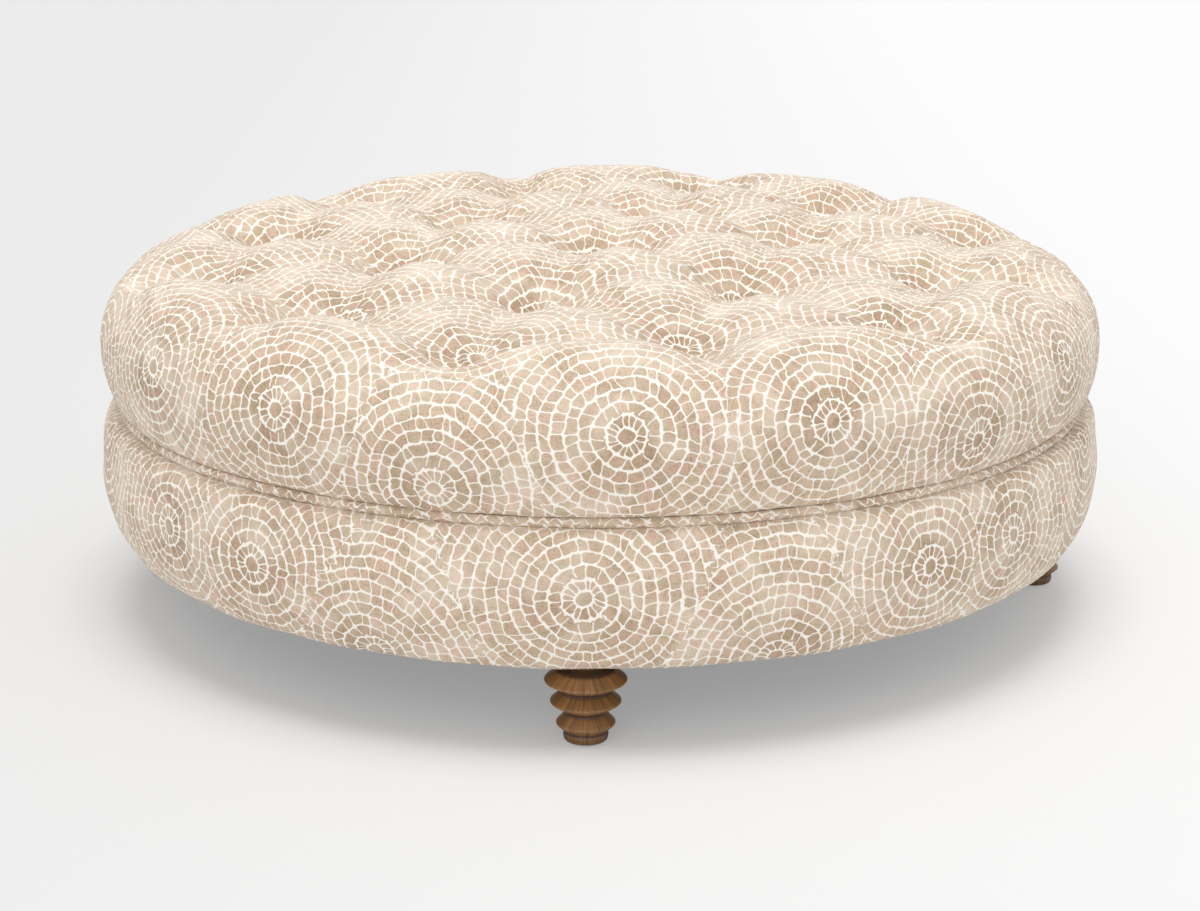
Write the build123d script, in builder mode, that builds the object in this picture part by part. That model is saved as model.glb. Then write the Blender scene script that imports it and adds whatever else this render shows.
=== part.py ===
"""A round cocktail ottoman with a button-tufted top, on four turned feet.

The ottoman is built as an upholsterer builds it. A drum of plywood rings, posts and
bent board makes the base, with foam and fabric drawn over it. A padded, tufted disc
makes the top and is screwed down on the drum, with a welt pinched in the seam between.
Lengths are in millimetres. The origin is on the floor under the middle, +Z is up and
the side that faces the viewer is -Y.
"""

import os
from math import acos, asin, atan2, cos, hypot, pi, radians, sin, sqrt

from build123d import *

os.makedirs("parts", exist_ok=True)

# Overall sizes
overall_diameter = 1220.0  # at the swell of the apron, the widest place
overall_height = 445.0  # floor to the crown of the top
underside_height = 94.0  # floor to the underside of the wooden base

# Clearances, and how far a cut runs past what it cuts
fit_gap = 0.3
bore_gap = 0.15
overrun = 20.0

# How a box or a cylinder is set on its place: standing on it or hanging from it
standing = (Align.CENTER, Align.CENTER, Align.MIN)
hanging = (Align.CENTER, Align.CENTER, Align.MAX)

# Plywood drum
side_stand_out = 51.0  # from the rim of the frame to the swell of the apron
frame_diameter = overall_diameter - 2 * side_stand_out
base_ring_thickness = 18.0
base_ring_width = 100.0
waist_ring_thickness = 18.0
waist_ring_width = 100.0
post_count = 8
post_length = 124.0
post_width = 64.0
post_depth = 38.0
post_inset = 1.5
foot_block_length = 100.0
foot_block_depth = 90.0
foot_block_height = 38.0
panel_thickness = 3.0

# Tufting deck, the board that the top is built on
deck_thickness = 18.0
deck_rail_height = 38.0
deck_rail_width = 38.0
deck_rail_end_gap = 2.0

# Screws
screw_radius = 2.2
screw_head_radius = 4.4
screw_head_depth = 2.6
post_screw_length = 50.0
block_screw_length = 50.0
block_screw_spacing = 64.0
block_screw_setback = 62.0
deck_screw_grip = 12.0
deck_screw_setback = 74.0
deck_screw_count = 8
rail_screw_length = 45.0
rail_screw_spacing = 290.0
rail_screw_count = 3

# Fabric, its turned edges and the welt
fabric_thickness = 1.2
turned_edge_width = 34.0
tape_thickness = 1.4
tape_width = 30.0
welt_radius = 4.5
welt_stand_out = 22.0  # from the rim of the frame to the middle of the welt
seam_gap = 0.2

# Apron: the padded side of the drum
swell_share = 0.53  # of the apron's height, from its lowest line to its swell
apron_top_stand_out = 27.0  # from the rim of the frame to the roll at the seam
apron_top_roll_radius = 19.0
apron_foot_stand_out = 8.0  # from the rim of the frame to the lowest line
apron_foot_roll_radius = 27.0
apron_drop = 3.0  # how far its lowest line hangs under the base

# Seat: the padded top
seat_setback = 2.5  # from the swell of the apron to the swell of the seat
seat_diameter = overall_diameter - 2 * seat_setback
seat_edge_stand_out = 18.0  # from the rim of the frame to the roll at the seam
seat_edge_roll_radius = 18.0
seat_swell_share = 0.375  # of the seat's thickness, from its underside to its swell
shoulder_share = 0.92  # of the rise from the swell to the crown

# Tufts, on a triangular grid round the middle
tuft_rings = 2
tuft_turn = 13.0  # degrees that the grid is turned about the middle
tuft_edge_margin = 116.0
deepest_tuft_share = 0.34  # of the seat's thickness
tuft_floor_share = 0.675  # of the seat's thickness, under the floors of the outer tufts
tuft_floor_radius = 14.0
tuft_rim_share = 0.485  # of the spacing of the tufts
tuft_rim_slope = 8.0  # degrees at which the dimple meets the crown
tuft_run_out = 4.0  # degrees before level at which the cut's arc ends
tuft_lean_share = 0.9
button_radius = 13.2
button_edge_height = 3.0
button_height = 8.5
twine_radius = 1.2
twine_hole_radius = 2.5
clasp_radius = 11.0
clasp_thickness = 3.0

# Feet
foot_count = 4
foot_setback = 14.0  # from the rim of the frame to the middle of a foot
foot_circle_diameter = frame_diameter - 2 * foot_setback
foot_turn = -1.6  # degrees that the feet are turned from the axes
foot_neck_radius = 17.0
foot_cove_radius = 8.0
upper_bead_radius = 44.5
middle_bead_radius = 38.0
lower_bead_radius = 31.5
lower_bead_height = 21.5
bead_pitch = 24.4
foot_toe_radius = 23.8
foot_toe_flare = 0.7
foot_toe_edge_radius = 2.0
foot_bolt_radius = 4.0
foot_bolt_depth = 42.0
foot_bolt_stand_out = 4.0
tee_nut_radius = 9.5
tee_nut_thickness = 1.5
tee_nut_barrel_radius = 5.2
tee_nut_barrel_length = 9.0
glide_radius = 10.0
glide_thickness = 2.0
glide_nail_radius = 1.4
glide_nail_length = 16.0

# Dust cover and its staples
dust_cover_thickness = 0.8
dust_cover_margin = 11.0
staple_count = 24
staple_turn = 5.0  # degrees from a foot to the first staple
staple_setback = 23.0
staple_crown = 10.0
staple_leg = 8.0
staple_wire = 0.7

# Radii and heights that follow
frame_radius = frame_diameter / 2
swell_radius = overall_diameter / 2
seat_radius = seat_diameter / 2
foot_circle_radius = foot_circle_diameter / 2
lip_inner_radius = frame_radius - turned_edge_width
wall_inner_radius = frame_radius + fit_gap
wall_outer_radius = wall_inner_radius + fabric_thickness
base_top = underside_height + base_ring_thickness
waist_ring_bottom = base_top + post_length
waist_ring_top = waist_ring_bottom + waist_ring_thickness
tape_bottom = waist_ring_top + fabric_thickness
tape_top = tape_bottom + tape_thickness
deck_bottom = tape_top + fabric_thickness
deck_top = deck_bottom + deck_thickness
welt_height = (tape_bottom + tape_top) / 2
apron_top = welt_height - welt_radius - seam_gap
apron_bottom = underside_height - apron_drop
swell_height = apron_bottom + swell_share * (apron_top - apron_bottom)
seat_bottom = welt_height + welt_radius + seam_gap
seat_thickness = overall_height - seat_bottom
seat_swell_height = seat_bottom + seat_swell_share * seat_thickness
apron_lip_bottom = underside_height - fabric_thickness
block_top = base_top + foot_block_height
post_circle_radius = frame_radius - post_inset - post_depth / 2
deck_screw_radius = frame_radius - deck_screw_setback
staple_circle_radius = frame_radius - staple_setback
tuft_spacing = (seat_radius - tuft_edge_margin) / tuft_rings
row_spacing = tuft_spacing * sqrt(3) / 2
tuft_rim_radius = tuft_rim_share * tuft_spacing
deepest_tuft = deepest_tuft_share * seat_thickness
tuft_floor_height = seat_bottom + tuft_floor_share * seat_thickness
deck_rail_offset = row_spacing / 2
post_turn = foot_turn + 360 / post_count / 2

# Crown of the seat: one large arc over the middle and a shoulder arc to the swell
crown_rise = overall_height - seat_swell_height
shoulder_radius = shoulder_share * crown_rise
shoulder_centre = (seat_radius - shoulder_radius, seat_swell_height)
crown_radius = (seat_radius**2 + crown_rise**2 - 2 * seat_radius * shoulder_radius) / (
    2 * (crown_rise - shoulder_radius)
)
crown_centre = (0, overall_height - crown_radius)


def on_circle(centre, radius, angle):
    """The point at an angle, in radians from +X, on a circle in a section plane."""
    return (centre[0] + radius * cos(angle), centre[1] + radius * sin(angle))


def arc(centre, radius, start, end):
    """An arc about a centre from one angle to another, drawn through its middle."""
    middle = (start + end) / 2
    return ThreePointArc(
        on_circle(centre, radius, start),
        on_circle(centre, radius, middle),
        on_circle(centre, radius, end),
    )


def direction(start, end):
    """The angle of the line from one point of a section plane to another."""
    return atan2(end[1] - start[1], end[0] - start[0])


def roll_centres(swell, edge, edge_radius, way):
    """Centres of the two arcs of a padded roll, from its swell to its edge.

    The large arc stands upright at the swell and the small one lies level at the edge.
    way is +1 where the roll rises to its edge and -1 where it falls. Returns the large
    centre, the large radius and the small centre.
    """
    wide = swell[0] - edge[0]
    tall = abs(swell[1] - edge[1]) - edge_radius
    large_radius = (wide**2 + tall**2 - edge_radius**2) / (2 * (wide - edge_radius))
    large_centre = (swell[0] - large_radius, swell[1])
    return large_centre, large_radius, (edge[0], edge[1] - way * edge_radius)


seat_roll = roll_centres(
    (seat_radius, seat_swell_height),
    (frame_radius + seat_edge_stand_out, seat_bottom),
    seat_edge_roll_radius,
    -1,
)
swell_point = (swell_radius, swell_height)
upper_roll = roll_centres(
    swell_point, (frame_radius + apron_top_stand_out, apron_top), apron_top_roll_radius, 1
)
lower_roll = roll_centres(
    swell_point, (frame_radius + apron_foot_stand_out, apron_bottom), apron_foot_roll_radius, -1
)


def draw_apron_side(inset):
    """The apron's side from its lowest line to the seam, drawn in by an inset."""
    large_centre, large_radius, small_centre = lower_roll
    turn = direction(large_centre, small_centre)
    arc(small_centre, apron_foot_roll_radius - inset, -pi / 2, turn)
    arc(large_centre, large_radius - inset, turn, 0)
    large_centre, large_radius, small_centre = upper_roll
    turn = direction(large_centre, small_centre)
    arc(large_centre, large_radius - inset, 0, turn)
    arc(small_centre, apron_top_roll_radius - inset, turn, pi / 2)


def apron_side_ends(inset):
    """The first and last points of the apron's side at an inset."""
    low = (lower_roll[2][0], apron_bottom + inset)
    high = (upper_roll[2][0], apron_top - inset)
    return low, high


def apron_cover_section():
    """The apron's fabric: turned over the waist ring, down the side and under the base."""
    low_out, high_out = apron_side_ends(0)
    low_in, high_in = apron_side_ends(fabric_thickness)
    under_edge = frame_radius - apron_foot_stand_out
    with BuildSketch(Plane.XZ) as section:
        with BuildLine():
            draw_apron_side(0)
            Polyline(
                high_out,
                (wall_outer_radius, apron_top),
                (wall_outer_radius, tape_bottom),
                (lip_inner_radius, tape_bottom),
                (lip_inner_radius, waist_ring_top),
                (wall_inner_radius, waist_ring_top),
                (wall_inner_radius, apron_top - fabric_thickness),
                high_in,
            )
            draw_apron_side(fabric_thickness)
            Polyline(
                low_in,
                (under_edge, underside_height),
                (lip_inner_radius, underside_height),
                (lip_inner_radius, apron_lip_bottom),
                (under_edge, apron_lip_bottom),
                low_out,
            )
        make_face()
    return section.sketch


def apron_padding_section():
    """The foam between the bent board and the apron's fabric."""
    inset = fabric_thickness + fit_gap
    low, high = apron_side_ends(inset)
    inner_radius = wall_inner_radius + panel_thickness + fit_gap
    with BuildSketch(Plane.XZ) as section:
        with BuildLine():
            draw_apron_side(inset)
            Polyline(
                high,
                (inner_radius, high[1]),
                (inner_radius, low[1] + fabric_thickness),
                low,
            )
        make_face()
    return section.sketch


def dimple_side(depth, inset):
    """The arc of a dimple's side, drawn in by an inset, from its floor to past its rim.

    It is drawn beside the tuft's axis, with the crown at height 0 and the rim at the
    slope that is given. Returns the arc's centre, radius and two angles, and the floor.
    """
    wide = tuft_rim_radius - tuft_floor_radius
    slope = radians(tuft_rim_slope)
    radius = hypot(wide, depth) / (2 * sin(atan2(depth, wide) - slope))
    centre = (tuft_rim_radius + radius * sin(slope), -radius * cos(slope))
    floor = -depth - inset
    start = pi - asin((floor - centre[1]) / (radius - inset))
    return centre, radius - inset, start, pi / 2 + radians(tuft_run_out), floor


def dimple_section(place, inset):
    """What a tuft takes out of the seat, drawn on the upright plane through its axis."""
    centre, radius, start, end, floor = dimple_side(tuft_depth(place), inset)
    foot = on_circle(centre, radius, start)
    head = on_circle(centre, radius, end)
    upright = Plane(place.origin, x_dir=place.x_dir, z_dir=-place.y_dir)
    with BuildSketch(upright) as section:
        with BuildLine():
            arc(centre, radius, start, end)
            Polyline(head, (head[0], overrun), (0, overrun), (0, floor), foot)
        make_face()
    return section.sketch


def rim_turn(centre, radius, inset):
    """The angle on the middle dimple's arc at which it crosses the crown's arc."""
    apart = hypot(centre[0] - crown_centre[0], centre[1] - crown_centre[1])
    along = (apart**2 + radius**2 - (crown_radius - inset) ** 2) / (2 * apart)
    return (direction(centre, crown_centre) - acos(along / radius)) % (2 * pi)


def seat_section(inset):
    """Half of the seat, drawn in by an inset, with the middle dimple in its crown."""
    side, radius, start, _, floor = dimple_side(tuft_depth(middle_tuft), inset)
    centre = (side[0], overall_height + side[1])
    rim = rim_turn(centre, radius, inset)
    crown_turn = direction(crown_centre, on_circle(centre, radius, rim))
    shoulder_turn = direction(crown_centre, shoulder_centre)
    side_centre, side_radius, edge_centre = seat_roll
    edge_turn = direction(side_centre, edge_centre)
    with BuildSketch(Plane.XZ) as section:
        with BuildLine():
            Line((0, overall_height + floor), on_circle(centre, radius, start))
            arc(centre, radius, start, rim)
            arc(crown_centre, crown_radius - inset, crown_turn, shoulder_turn)
            arc(shoulder_centre, shoulder_radius - inset, shoulder_turn, 0)
            arc(side_centre, side_radius - inset, 0, edge_turn)
            arc(edge_centre, seat_edge_roll_radius - inset, edge_turn, -pi / 2)
            Polyline(
                (edge_centre[0], seat_bottom + inset),
                (0, seat_bottom + inset),
                (0, overall_height + floor),
            )
        make_face()
    return section.sketch


def tuft_points():
    """The middles of the tufts in plan, row by row, the middle tuft among them."""
    points = []
    for row in range(-tuft_rings, tuft_rings + 1):
        for step in range(-tuft_rings, tuft_rings + 1):
            if abs(row + step) <= tuft_rings:
                along = (step + row / 2) * tuft_spacing
                point = Vector(along, row * row_spacing).rotate(Axis.Z, tuft_turn)
                points.append((point, row == 0 and step == 0))
    return points


def tuft_place(point):
    """The plane on the crown over a point in plan, square to the crown or nearly so."""
    height = crown_centre[1] + sqrt(crown_radius**2 - point.X**2 - point.Y**2)
    rise = (height - crown_centre[1]) * tuft_lean_share
    lean = Vector(point.X, point.Y, rise).normalized()
    along = Vector(0, 1, 0).cross(lean)
    return Plane(Vector(point.X, point.Y, height), x_dir=along, z_dir=lean)


outer_tufts = [tuft_place(point) for point, middle in tuft_points() if not middle]
middle_tuft = Plane((0, 0, overall_height), x_dir=(1, 0, 0), z_dir=(0, 0, 1))
tufts = [middle_tuft] + outer_tufts


def tuft_depth(place):
    """A tuft's depth on its axis: the deepest in the middle, less towards the edge."""
    return min(deepest_tuft, (place.origin.Z - tuft_floor_height) / place.z_dir.Z)


def floor_of(place):
    """The middle of the floor of a dimple."""
    return place.origin - place.z_dir * tuft_depth(place)


def seat_block(inset):
    """The whole padded top, drawn in by an inset, with every dimple sunk in it."""
    with BuildPart() as block:
        revolve(seat_section(inset), axis=Axis.Z)
        for place in outer_tufts:
            axis = Axis(place.origin, place.z_dir)
            revolve(dimple_section(place, inset), axis=axis, mode=Mode.SUBTRACT)
    return block.part


def seat_edge_section():
    """The seat fabric's edge, down past the deck's rim and turned under the deck."""
    shelf_top = seat_bottom + fabric_thickness
    with BuildSketch(Plane.XZ) as section:
        with BuildLine():
            Polyline(
                (wall_outer_radius, shelf_top),
                (wall_inner_radius, shelf_top),
                (wall_inner_radius, deck_bottom),
                (lip_inner_radius, deck_bottom),
                (lip_inner_radius, tape_top),
                (wall_outer_radius, tape_top),
                (wall_outer_radius, shelf_top),
            )
        make_face()
    return section.sketch


def twine_bores(radius):
    """Upright bores for the tufting twine, from under the deck to each dimple's floor."""
    with BuildPart() as bores:
        for place in tufts:
            floor = floor_of(place)
            low = deck_bottom - overrun
            with Locations((floor.X, floor.Y, low)):
                Cylinder(radius, floor.Z + fabric_thickness - low, align=standing)
    return bores.part


def screw(length):
    """A countersunk wood screw, its head's face at the origin, driven along +Z."""
    with BuildPart() as shape:
        with BuildSketch(Plane.XZ):
            with BuildLine():
                Polyline(
                    (0, 0),
                    (screw_head_radius, 0),
                    (screw_radius, screw_head_depth),
                    (screw_radius, length - screw_radius),
                    (0, length),
                    (0, 0),
                )
            make_face()
        revolve(axis=Axis.Z)
    return shape.part


def screw_bore(length):
    """The bore and countersink for a screw of a given length."""
    with BuildPart() as shape:
        with BuildSketch(Plane.XZ):
            with BuildLine():
                Polyline(
                    (0, 0),
                    (screw_head_radius + bore_gap, 0),
                    (screw_radius + bore_gap, screw_head_depth),
                    (screw_radius + bore_gap, length + bore_gap),
                    (0, length + bore_gap),
                    (0, 0),
                )
            make_face()
        revolve(axis=Axis.Z)
    return shape.part


def polar_points(radius, count, first):
    """Points in plan, evenly spaced on a circle from a first angle in degrees."""
    turns = [radians(first + 360 * index / count) for index in range(count)]
    return [(radius * cos(turn), radius * sin(turn)) for turn in turns]


def facing(points, height, way):
    """Planes at points in plan, looking up or down, as a screw is driven."""
    return [Plane((x, y, height), x_dir=(1, 0, 0), z_dir=(0, 0, way)) for x, y in points]


def rail_screw_points():
    """Where the screws pass through the deck into its two rails."""
    points = []
    for side in (-1, 1):
        for index in range(rail_screw_count):
            along = (index - (rail_screw_count - 1) / 2) * rail_screw_spacing
            point = Vector(along, side * deck_rail_offset).rotate(Axis.Z, tuft_turn)
            points.append((point.X, point.Y))
    return points


def block_screw_points():
    """Where two screws pass down through each foot block."""
    points = []
    for index in range(foot_count):
        turn = foot_turn + 360 * index / foot_count
        for side in (-1, 1):
            across = side * block_screw_spacing / 2
            point = Vector(frame_radius - block_screw_setback, across).rotate(Axis.Z, turn)
            points.append((point.X, point.Y))
    return points


foot_points = polar_points(foot_circle_radius, foot_count, foot_turn)
post_points = polar_points(post_circle_radius, post_count, post_turn)
deck_screw_points = polar_points(deck_screw_radius, deck_screw_count, post_turn)
post_screw_places = [
    *facing(post_points, waist_ring_top, -1),
    *facing(post_points, underside_height, 1),
]
block_screw_places = facing(block_screw_points(), block_top, -1)
deck_screw_places = facing(deck_screw_points, waist_ring_bottom, 1)
rail_screw_places = facing(rail_screw_points(), deck_top, -1)
deck_screw_length = deck_bottom - waist_ring_bottom + deck_screw_grip
post_bore = screw_bore(post_screw_length)
block_bore = screw_bore(block_screw_length)
deck_bore = screw_bore(deck_screw_length)
rail_bore = screw_bore(rail_screw_length)


def staple_planes(height):
    """Planes across the staples' crowns, each with X along its crown."""
    planes = []
    for index in range(staple_count):
        turn = foot_turn + staple_turn + 360 * index / staple_count
        out = Vector(1, 0, 0).rotate(Axis.Z, turn)
        centre = out * staple_circle_radius + Vector(0, 0, height)
        planes.append(Plane(centre, x_dir=out.rotate(Axis.Z, 90), z_dir=(0, 0, 1)))
    return planes


dust_cover_bottom = apron_lip_bottom - dust_cover_thickness
staple_places = staple_planes(dust_cover_bottom)


def staple_leg_slots():
    """The slits that the staples' legs make, from the dust cover up into the base."""
    slit = staple_wire + 2 * bore_gap
    rise = staple_leg + bore_gap
    spread = staple_crown - staple_wire
    with BuildPart() as slots:
        with Locations(*staple_places):
            with GridLocations(spread, 0, 2, 1):
                Box(slit, slit, rise, align=standing)
    return slots.part


def neck_openings():
    """Round openings through the fabric under the base, one for each foot's neck."""
    with BuildPart() as openings:
        with Locations(*[(x, y, underside_height) for x, y in foot_points]):
            Cylinder(foot_neck_radius + fit_gap, overrun, align=hanging)
    return openings.part


leg_slots = staple_leg_slots()
necks = neck_openings()

# Base ring: the plywood ring that the posts and feet are fixed to
with BuildPart() as base_ring:
    with BuildSketch(Plane.XY.offset(underside_height)):
        Circle(frame_radius)
        Circle(frame_radius - base_ring_width, mode=Mode.SUBTRACT)
        with Locations(*foot_points):
            Circle(foot_bolt_radius + bore_gap, mode=Mode.SUBTRACT)
    extrude(amount=base_ring_thickness)
    with Locations(*post_screw_places):
        add(post_bore, mode=Mode.SUBTRACT)
    with Locations(*block_screw_places):
        add(block_bore, mode=Mode.SUBTRACT)
    add(leg_slots, mode=Mode.SUBTRACT)

# Waist ring: the plywood ring on top of the posts
with BuildPart() as waist_ring:
    with BuildSketch(Plane.XY.offset(waist_ring_bottom)):
        Circle(frame_radius)
        Circle(frame_radius - waist_ring_width, mode=Mode.SUBTRACT)
    extrude(amount=waist_ring_thickness)
    with Locations(*post_screw_places):
        add(post_bore, mode=Mode.SUBTRACT)
    with Locations(*deck_screw_places):
        add(deck_bore, mode=Mode.SUBTRACT)

# Posts: softwood blocks that hold the two rings apart
posts = []
for turn, (x, y) in enumerate(post_points):
    angle = post_turn + 360 * turn / post_count
    with BuildPart() as post:
        with Locations(Location((x, y, base_top), (0, 0, angle))):
            Box(post_depth, post_width, post_length, align=standing)
        with Locations(post_screw_places[turn], post_screw_places[turn + post_count]):
            add(post_bore, mode=Mode.SUBTRACT)
    posts.append(post)

# Foot blocks: they back the base ring over each foot and take its bolt
foot_blocks = []
for turn, (x, y) in enumerate(foot_points):
    angle = foot_turn + 360 * turn / foot_count
    centre = Vector(frame_radius - foot_block_depth / 2, 0).rotate(Axis.Z, angle)
    with BuildPart() as foot_block:
        with Locations(Location((centre.X, centre.Y, base_top), (0, 0, angle))):
            Box(foot_block_depth, foot_block_length, foot_block_height, align=standing)
        with Locations((0, 0, base_top)):
            Cylinder(frame_radius, foot_block_height, align=standing, mode=Mode.INTERSECT)
        with Locations((x, y, block_top)):
            CounterBoreHole(
                foot_bolt_radius + bore_gap,
                tee_nut_barrel_radius + bore_gap,
                tee_nut_barrel_length + bore_gap,
                foot_block_height,
            )
        with Locations(*block_screw_places[2 * turn : 2 * turn + 2]):
            add(block_bore, mode=Mode.SUBTRACT)
    foot_blocks.append(foot_block)

# Apron panel: thin board bent round the drum and pinned to it
with BuildPart() as apron_panel:
    with BuildSketch(Plane.XY.offset(underside_height)):
        Circle(wall_inner_radius + panel_thickness)
        Circle(wall_inner_radius, mode=Mode.SUBTRACT)
    extrude(amount=apron_top - fabric_thickness - underside_height)

# Apron padding and the fabric drawn over it
with BuildPart() as apron_padding:
    revolve(apron_padding_section(), axis=Axis.Z)
    add(necks, mode=Mode.SUBTRACT)

with BuildPart() as apron_cover:
    revolve(apron_cover_section(), axis=Axis.Z)
    add(necks, mode=Mode.SUBTRACT)
    add(leg_slots, mode=Mode.SUBTRACT)

# Welt: a fabric-covered cord with its flat tape, pinched between the drum and the top
with BuildPart() as seam_welt:
    with BuildSketch(Plane.XZ):
        with Locations((frame_radius + welt_stand_out, welt_height)):
            Circle(welt_radius)
        with Locations((frame_radius + welt_stand_out, welt_height)):
            Rectangle(
                tape_width + welt_stand_out,
                tape_thickness,
                align=(Align.MAX, Align.CENTER),
            )
    revolve(axis=Axis.Z)

# Tufting deck, with a bore under every tuft, and the two rails that stiffen it
with BuildPart() as tufting_deck:
    with BuildSketch(Plane.XY.offset(deck_bottom)):
        Circle(frame_radius)
        with Locations(*[(floor_of(place).X, floor_of(place).Y) for place in tufts]):
            Circle(twine_hole_radius, mode=Mode.SUBTRACT)
    extrude(amount=deck_thickness)
    with Locations(*deck_screw_places):
        add(deck_bore, mode=Mode.SUBTRACT)
    with Locations(*rail_screw_places):
        add(rail_bore, mode=Mode.SUBTRACT)

deck_rails = []
rail_reach = frame_radius - waist_ring_width - deck_rail_end_gap
rail_half_length = sqrt(rail_reach**2 - (deck_rail_offset + deck_rail_width / 2) ** 2)
for side in (-1, 1):
    centre = Vector(0, side * deck_rail_offset).rotate(Axis.Z, tuft_turn)
    with BuildPart() as deck_rail:
        with Locations(Location((centre.X, centre.Y, deck_bottom), (0, 0, tuft_turn))):
            Box(2 * rail_half_length, deck_rail_width, deck_rail_height, align=hanging)
        with Locations(*rail_screw_places):
            add(rail_bore, mode=Mode.SUBTRACT)
    deck_rails.append(deck_rail)

# Seat cover: the fabric, drawn down into every dimple
with BuildPart() as seat_cover:
    add(seat_block(0))
    add(seat_block(fabric_thickness), mode=Mode.SUBTRACT)
    with Locations((0, 0, seat_bottom)):
        Cylinder(wall_inner_radius, fabric_thickness, align=standing, mode=Mode.SUBTRACT)
    revolve(seat_edge_section(), axis=Axis.Z)
    add(twine_bores(twine_radius + fit_gap), mode=Mode.SUBTRACT)

# Seat foam: one slab with a pocket at every tuft, rolled over the deck's rim
with BuildPart() as seat_foam:
    add(seat_block(fabric_thickness + fit_gap))
    with Locations((0, 0, deck_top)):
        Cylinder(frame_radius + fit_gap, overrun, align=hanging, mode=Mode.SUBTRACT)
    add(twine_bores(twine_hole_radius), mode=Mode.SUBTRACT)

# Tuft buttons: fabric-covered domes, drawn down on the floors of the dimples
with BuildPart() as button:
    with BuildSketch(Plane.XZ):
        with BuildLine():
            Line((0, 0), (button_radius, 0))
            Line((button_radius, 0), (button_radius, button_edge_height))
            TangentArc(
                (0, button_height),
                (button_radius, button_edge_height),
                tangent=(1, 0),
            )
            Line((0, button_height), (0, 0))
        make_face()
    revolve(axis=Axis.Z)

with BuildPart() as tuft_buttons:
    for place in tufts:
        with Locations(Plane(floor_of(place), x_dir=place.x_dir, z_dir=place.z_dir)):
            add(button.part)

# Tufting twine, from each button down through the foam and deck to its clasp
with BuildPart() as tufting_twine:
    for place in tufts:
        floor = floor_of(place)
        low = deck_bottom - clasp_thickness
        with Locations((floor.X, floor.Y, low)):
            Cylinder(twine_radius, floor.Z - fit_gap - low, align=standing)

with BuildPart() as twine_clasps:
    with BuildSketch(Plane.XY.offset(deck_bottom)):
        with Locations(*[(floor_of(place).X, floor_of(place).Y) for place in tufts]):
            Circle(clasp_radius)
            Circle(twine_radius + bore_gap, mode=Mode.SUBTRACT)
    extrude(amount=-clasp_thickness)

# Foot: turned with three beads over a short toe and a coved neck
bead_radius = bead_pitch / 2
toe_top_radius = foot_toe_radius + foot_toe_flare
lower_bead_centre = (lower_bead_radius - bead_radius, lower_bead_height)
middle_bead_centre = (middle_bead_radius - bead_radius, lower_bead_height + bead_pitch)
upper_bead_centre = (upper_bead_radius - bead_radius, lower_bead_height + 2 * bead_pitch)
toe_turn = -acos((toe_top_radius - lower_bead_centre[0]) / bead_radius)
beads_top = lower_bead_height + 2 * bead_pitch + bead_radius
with BuildPart() as foot:
    with BuildSketch(Plane.XZ):
        with BuildLine():
            Polyline(
                (0, glide_thickness),
                (foot_toe_radius - foot_toe_edge_radius, glide_thickness),
                (foot_toe_radius, glide_thickness + foot_toe_edge_radius),
                on_circle(lower_bead_centre, bead_radius, toe_turn),
            )
            arc(lower_bead_centre, bead_radius, toe_turn, pi / 2)
            Line(
                on_circle(lower_bead_centre, bead_radius, pi / 2),
                on_circle(middle_bead_centre, bead_radius, -pi / 2),
            )
            arc(middle_bead_centre, bead_radius, -pi / 2, pi / 2)
            Line(
                on_circle(middle_bead_centre, bead_radius, pi / 2),
                on_circle(upper_bead_centre, bead_radius, -pi / 2),
            )
            arc(upper_bead_centre, bead_radius, -pi / 2, pi / 2)
            Line(
                on_circle(upper_bead_centre, bead_radius, pi / 2),
                (foot_neck_radius + foot_cove_radius, beads_top),
            )
            arc(
                (foot_neck_radius + foot_cove_radius, beads_top + foot_cove_radius),
                foot_cove_radius,
                -pi / 2,
                -pi,
            )
            Polyline(
                (foot_neck_radius, beads_top + foot_cove_radius),
                (foot_neck_radius, underside_height),
                (0, underside_height),
                (0, glide_thickness),
            )
        make_face()
    revolve(axis=Axis.Z)
    with Locations((0, 0, underside_height)):
        Hole(foot_bolt_radius + bore_gap, foot_bolt_depth + bore_gap)
    with Locations((0, 0, glide_thickness)):
        Cylinder(
            glide_nail_radius + bore_gap,
            glide_nail_length + bore_gap,
            align=standing,
            mode=Mode.SUBTRACT,
        )

with BuildPart() as feet:
    with Locations(*foot_points):
        add(foot.part)

# Foot bolts: hanger bolts from each foot up through the base ring and block
bolt_bottom = underside_height - foot_bolt_depth
bolt_top = block_top + tee_nut_thickness + foot_bolt_stand_out
with BuildPart() as foot_bolts:
    with BuildSketch(Plane.XY.offset(bolt_bottom)):
        with Locations(*foot_points):
            Circle(foot_bolt_radius)
    extrude(amount=bolt_top - bolt_bottom)

with BuildPart() as foot_tee_nuts:
    with BuildSketch(Plane.XY.offset(block_top)):
        with Locations(*foot_points):
            Circle(tee_nut_radius)
            Circle(foot_bolt_radius + bore_gap, mode=Mode.SUBTRACT)
    extrude(amount=tee_nut_thickness)
    with BuildSketch(Plane.XY.offset(block_top)):
        with Locations(*foot_points):
            Circle(tee_nut_barrel_radius)
            Circle(foot_bolt_radius + bore_gap, mode=Mode.SUBTRACT)
    extrude(amount=-tee_nut_barrel_length)

# Glides: nylon discs nailed under the feet
with BuildPart() as foot_glides:
    with Locations(*[(x, y, 0) for x, y in foot_points]):
        Cylinder(glide_radius, glide_thickness, align=standing)
        Cylinder(glide_nail_radius, glide_thickness + glide_nail_length, align=standing)

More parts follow.
